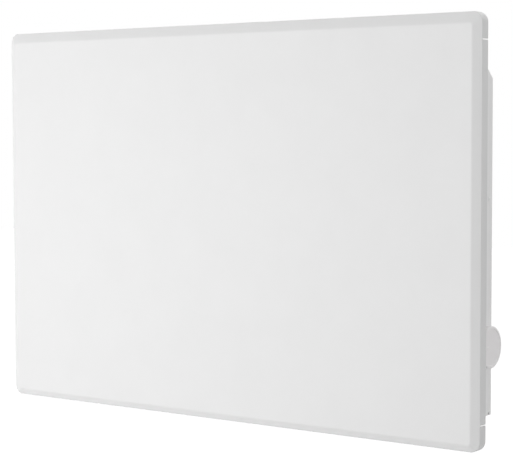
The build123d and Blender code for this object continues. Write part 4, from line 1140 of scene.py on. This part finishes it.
def photo_camera(settings):
    """Camera at the photograph's angle."""
    data = bpy.data.cameras.new("photo_camera")
    data.sensor_fit = "HORIZONTAL"
    data.sensor_width = SENSOR_WIDTH
    data.lens = settings.lens
    data.clip_start = NEAREST_VIEW
    data.clip_end = FARTHEST_VIEW
    camera = bpy.data.objects.new("photo_camera", data)
    turn = Euler((pi / 2 + settings.camera_pitch, 0.0, settings.camera_yaw)).to_matrix().to_4x4()
    camera.matrix_world = (Matrix.Translation(settings.camera_place) @ turn
                           @ Matrix.Rotation(settings.camera_roll, 4, "Z"))
    bpy.context.scene.collection.objects.link(camera)
    bpy.context.scene.camera = camera


class HEATER_OT_studio_stage(bpy.types.Operator):
    """Sets up the floor, the light and the camera"""

    bl_idname = "heater.studio_stage"
    bl_label = "Studio stage"

    def execute(self, context):
        settings = context.scene.heater_stage
        stage_floor(context, settings)
        room_world(settings)
        for name, (place, aim) in LAMPS.items():
            soft_lamp(name, place, aim, getattr(settings, name))
        photo_camera(settings)
        context.scene.view_settings.view_transform = "Standard"
        return {"FINISHED"}


# ------------ panel and run

OPERATORS = (
    HEATER_OT_coat_sheet_metal,
    HEATER_OT_finish_metal_parts,
    HEATER_OT_finish_moulded_parts,
    HEATER_OT_finish_leads,
    HEATER_OT_soften_sheets,
    HEATER_OT_soften_inner_parts,
    HEATER_OT_make_rivets,
    HEATER_OT_make_screws,
    HEATER_OT_make_knob,
    HEATER_OT_make_gland,
    HEATER_OT_studio_stage,
)


class HEATER_PT_build(bpy.types.Panel):
    """Lists the heater's settings and steps in the sidebar."""

    bl_label = "Panel heater"
    bl_idname = "HEATER_PT_build"
    bl_space_type = "VIEW_3D"
    bl_region_type = "UI"
    bl_category = "Heater"

    def draw(self, context):
        for name, group in SETTINGS.items():
            box = self.layout.box()
            for key in group.__annotations__:
                box.prop(getattr(context.scene, name), key)
        for operator in OPERATORS:
            self.layout.operator(operator.bl_idname)


CLASSES = (*SETTINGS.values(), *OPERATORS, HEATER_PT_build)


def register():
    for item in CLASSES:
        bpy.utils.register_class(item)
    for name, group in SETTINGS.items():
        setattr(bpy.types.Scene, name, PointerProperty(type=group))


def unregister():
    for name in SETTINGS:
        delattr(bpy.types.Scene, name)
    for item in reversed(CLASSES):
        bpy.utils.unregister_class(item)


def corners(box):
    """A box as plain lists of numbers."""
    return [[float(part) for part in corner] for corner in box]


def main():
    register()
    bpy.ops.heater.coat_sheet_metal()
    bpy.ops.heater.finish_metal_parts()
    bpy.ops.heater.finish_moulded_parts()
    bpy.ops.heater.finish_leads()
    bpy.ops.heater.soften_sheets()
    bpy.ops.heater.soften_inner_parts()
    bpy.ops.heater.make_rivets()
    bpy.ops.heater.make_screws()
    bpy.ops.heater.make_knob()
    bpy.ops.heater.make_gland()
    bpy.ops.heater.studio_stage()
    {"cad": corners(CAD_BOX), "visual": corners(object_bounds())}


if __name__ == "__main__":
    main()
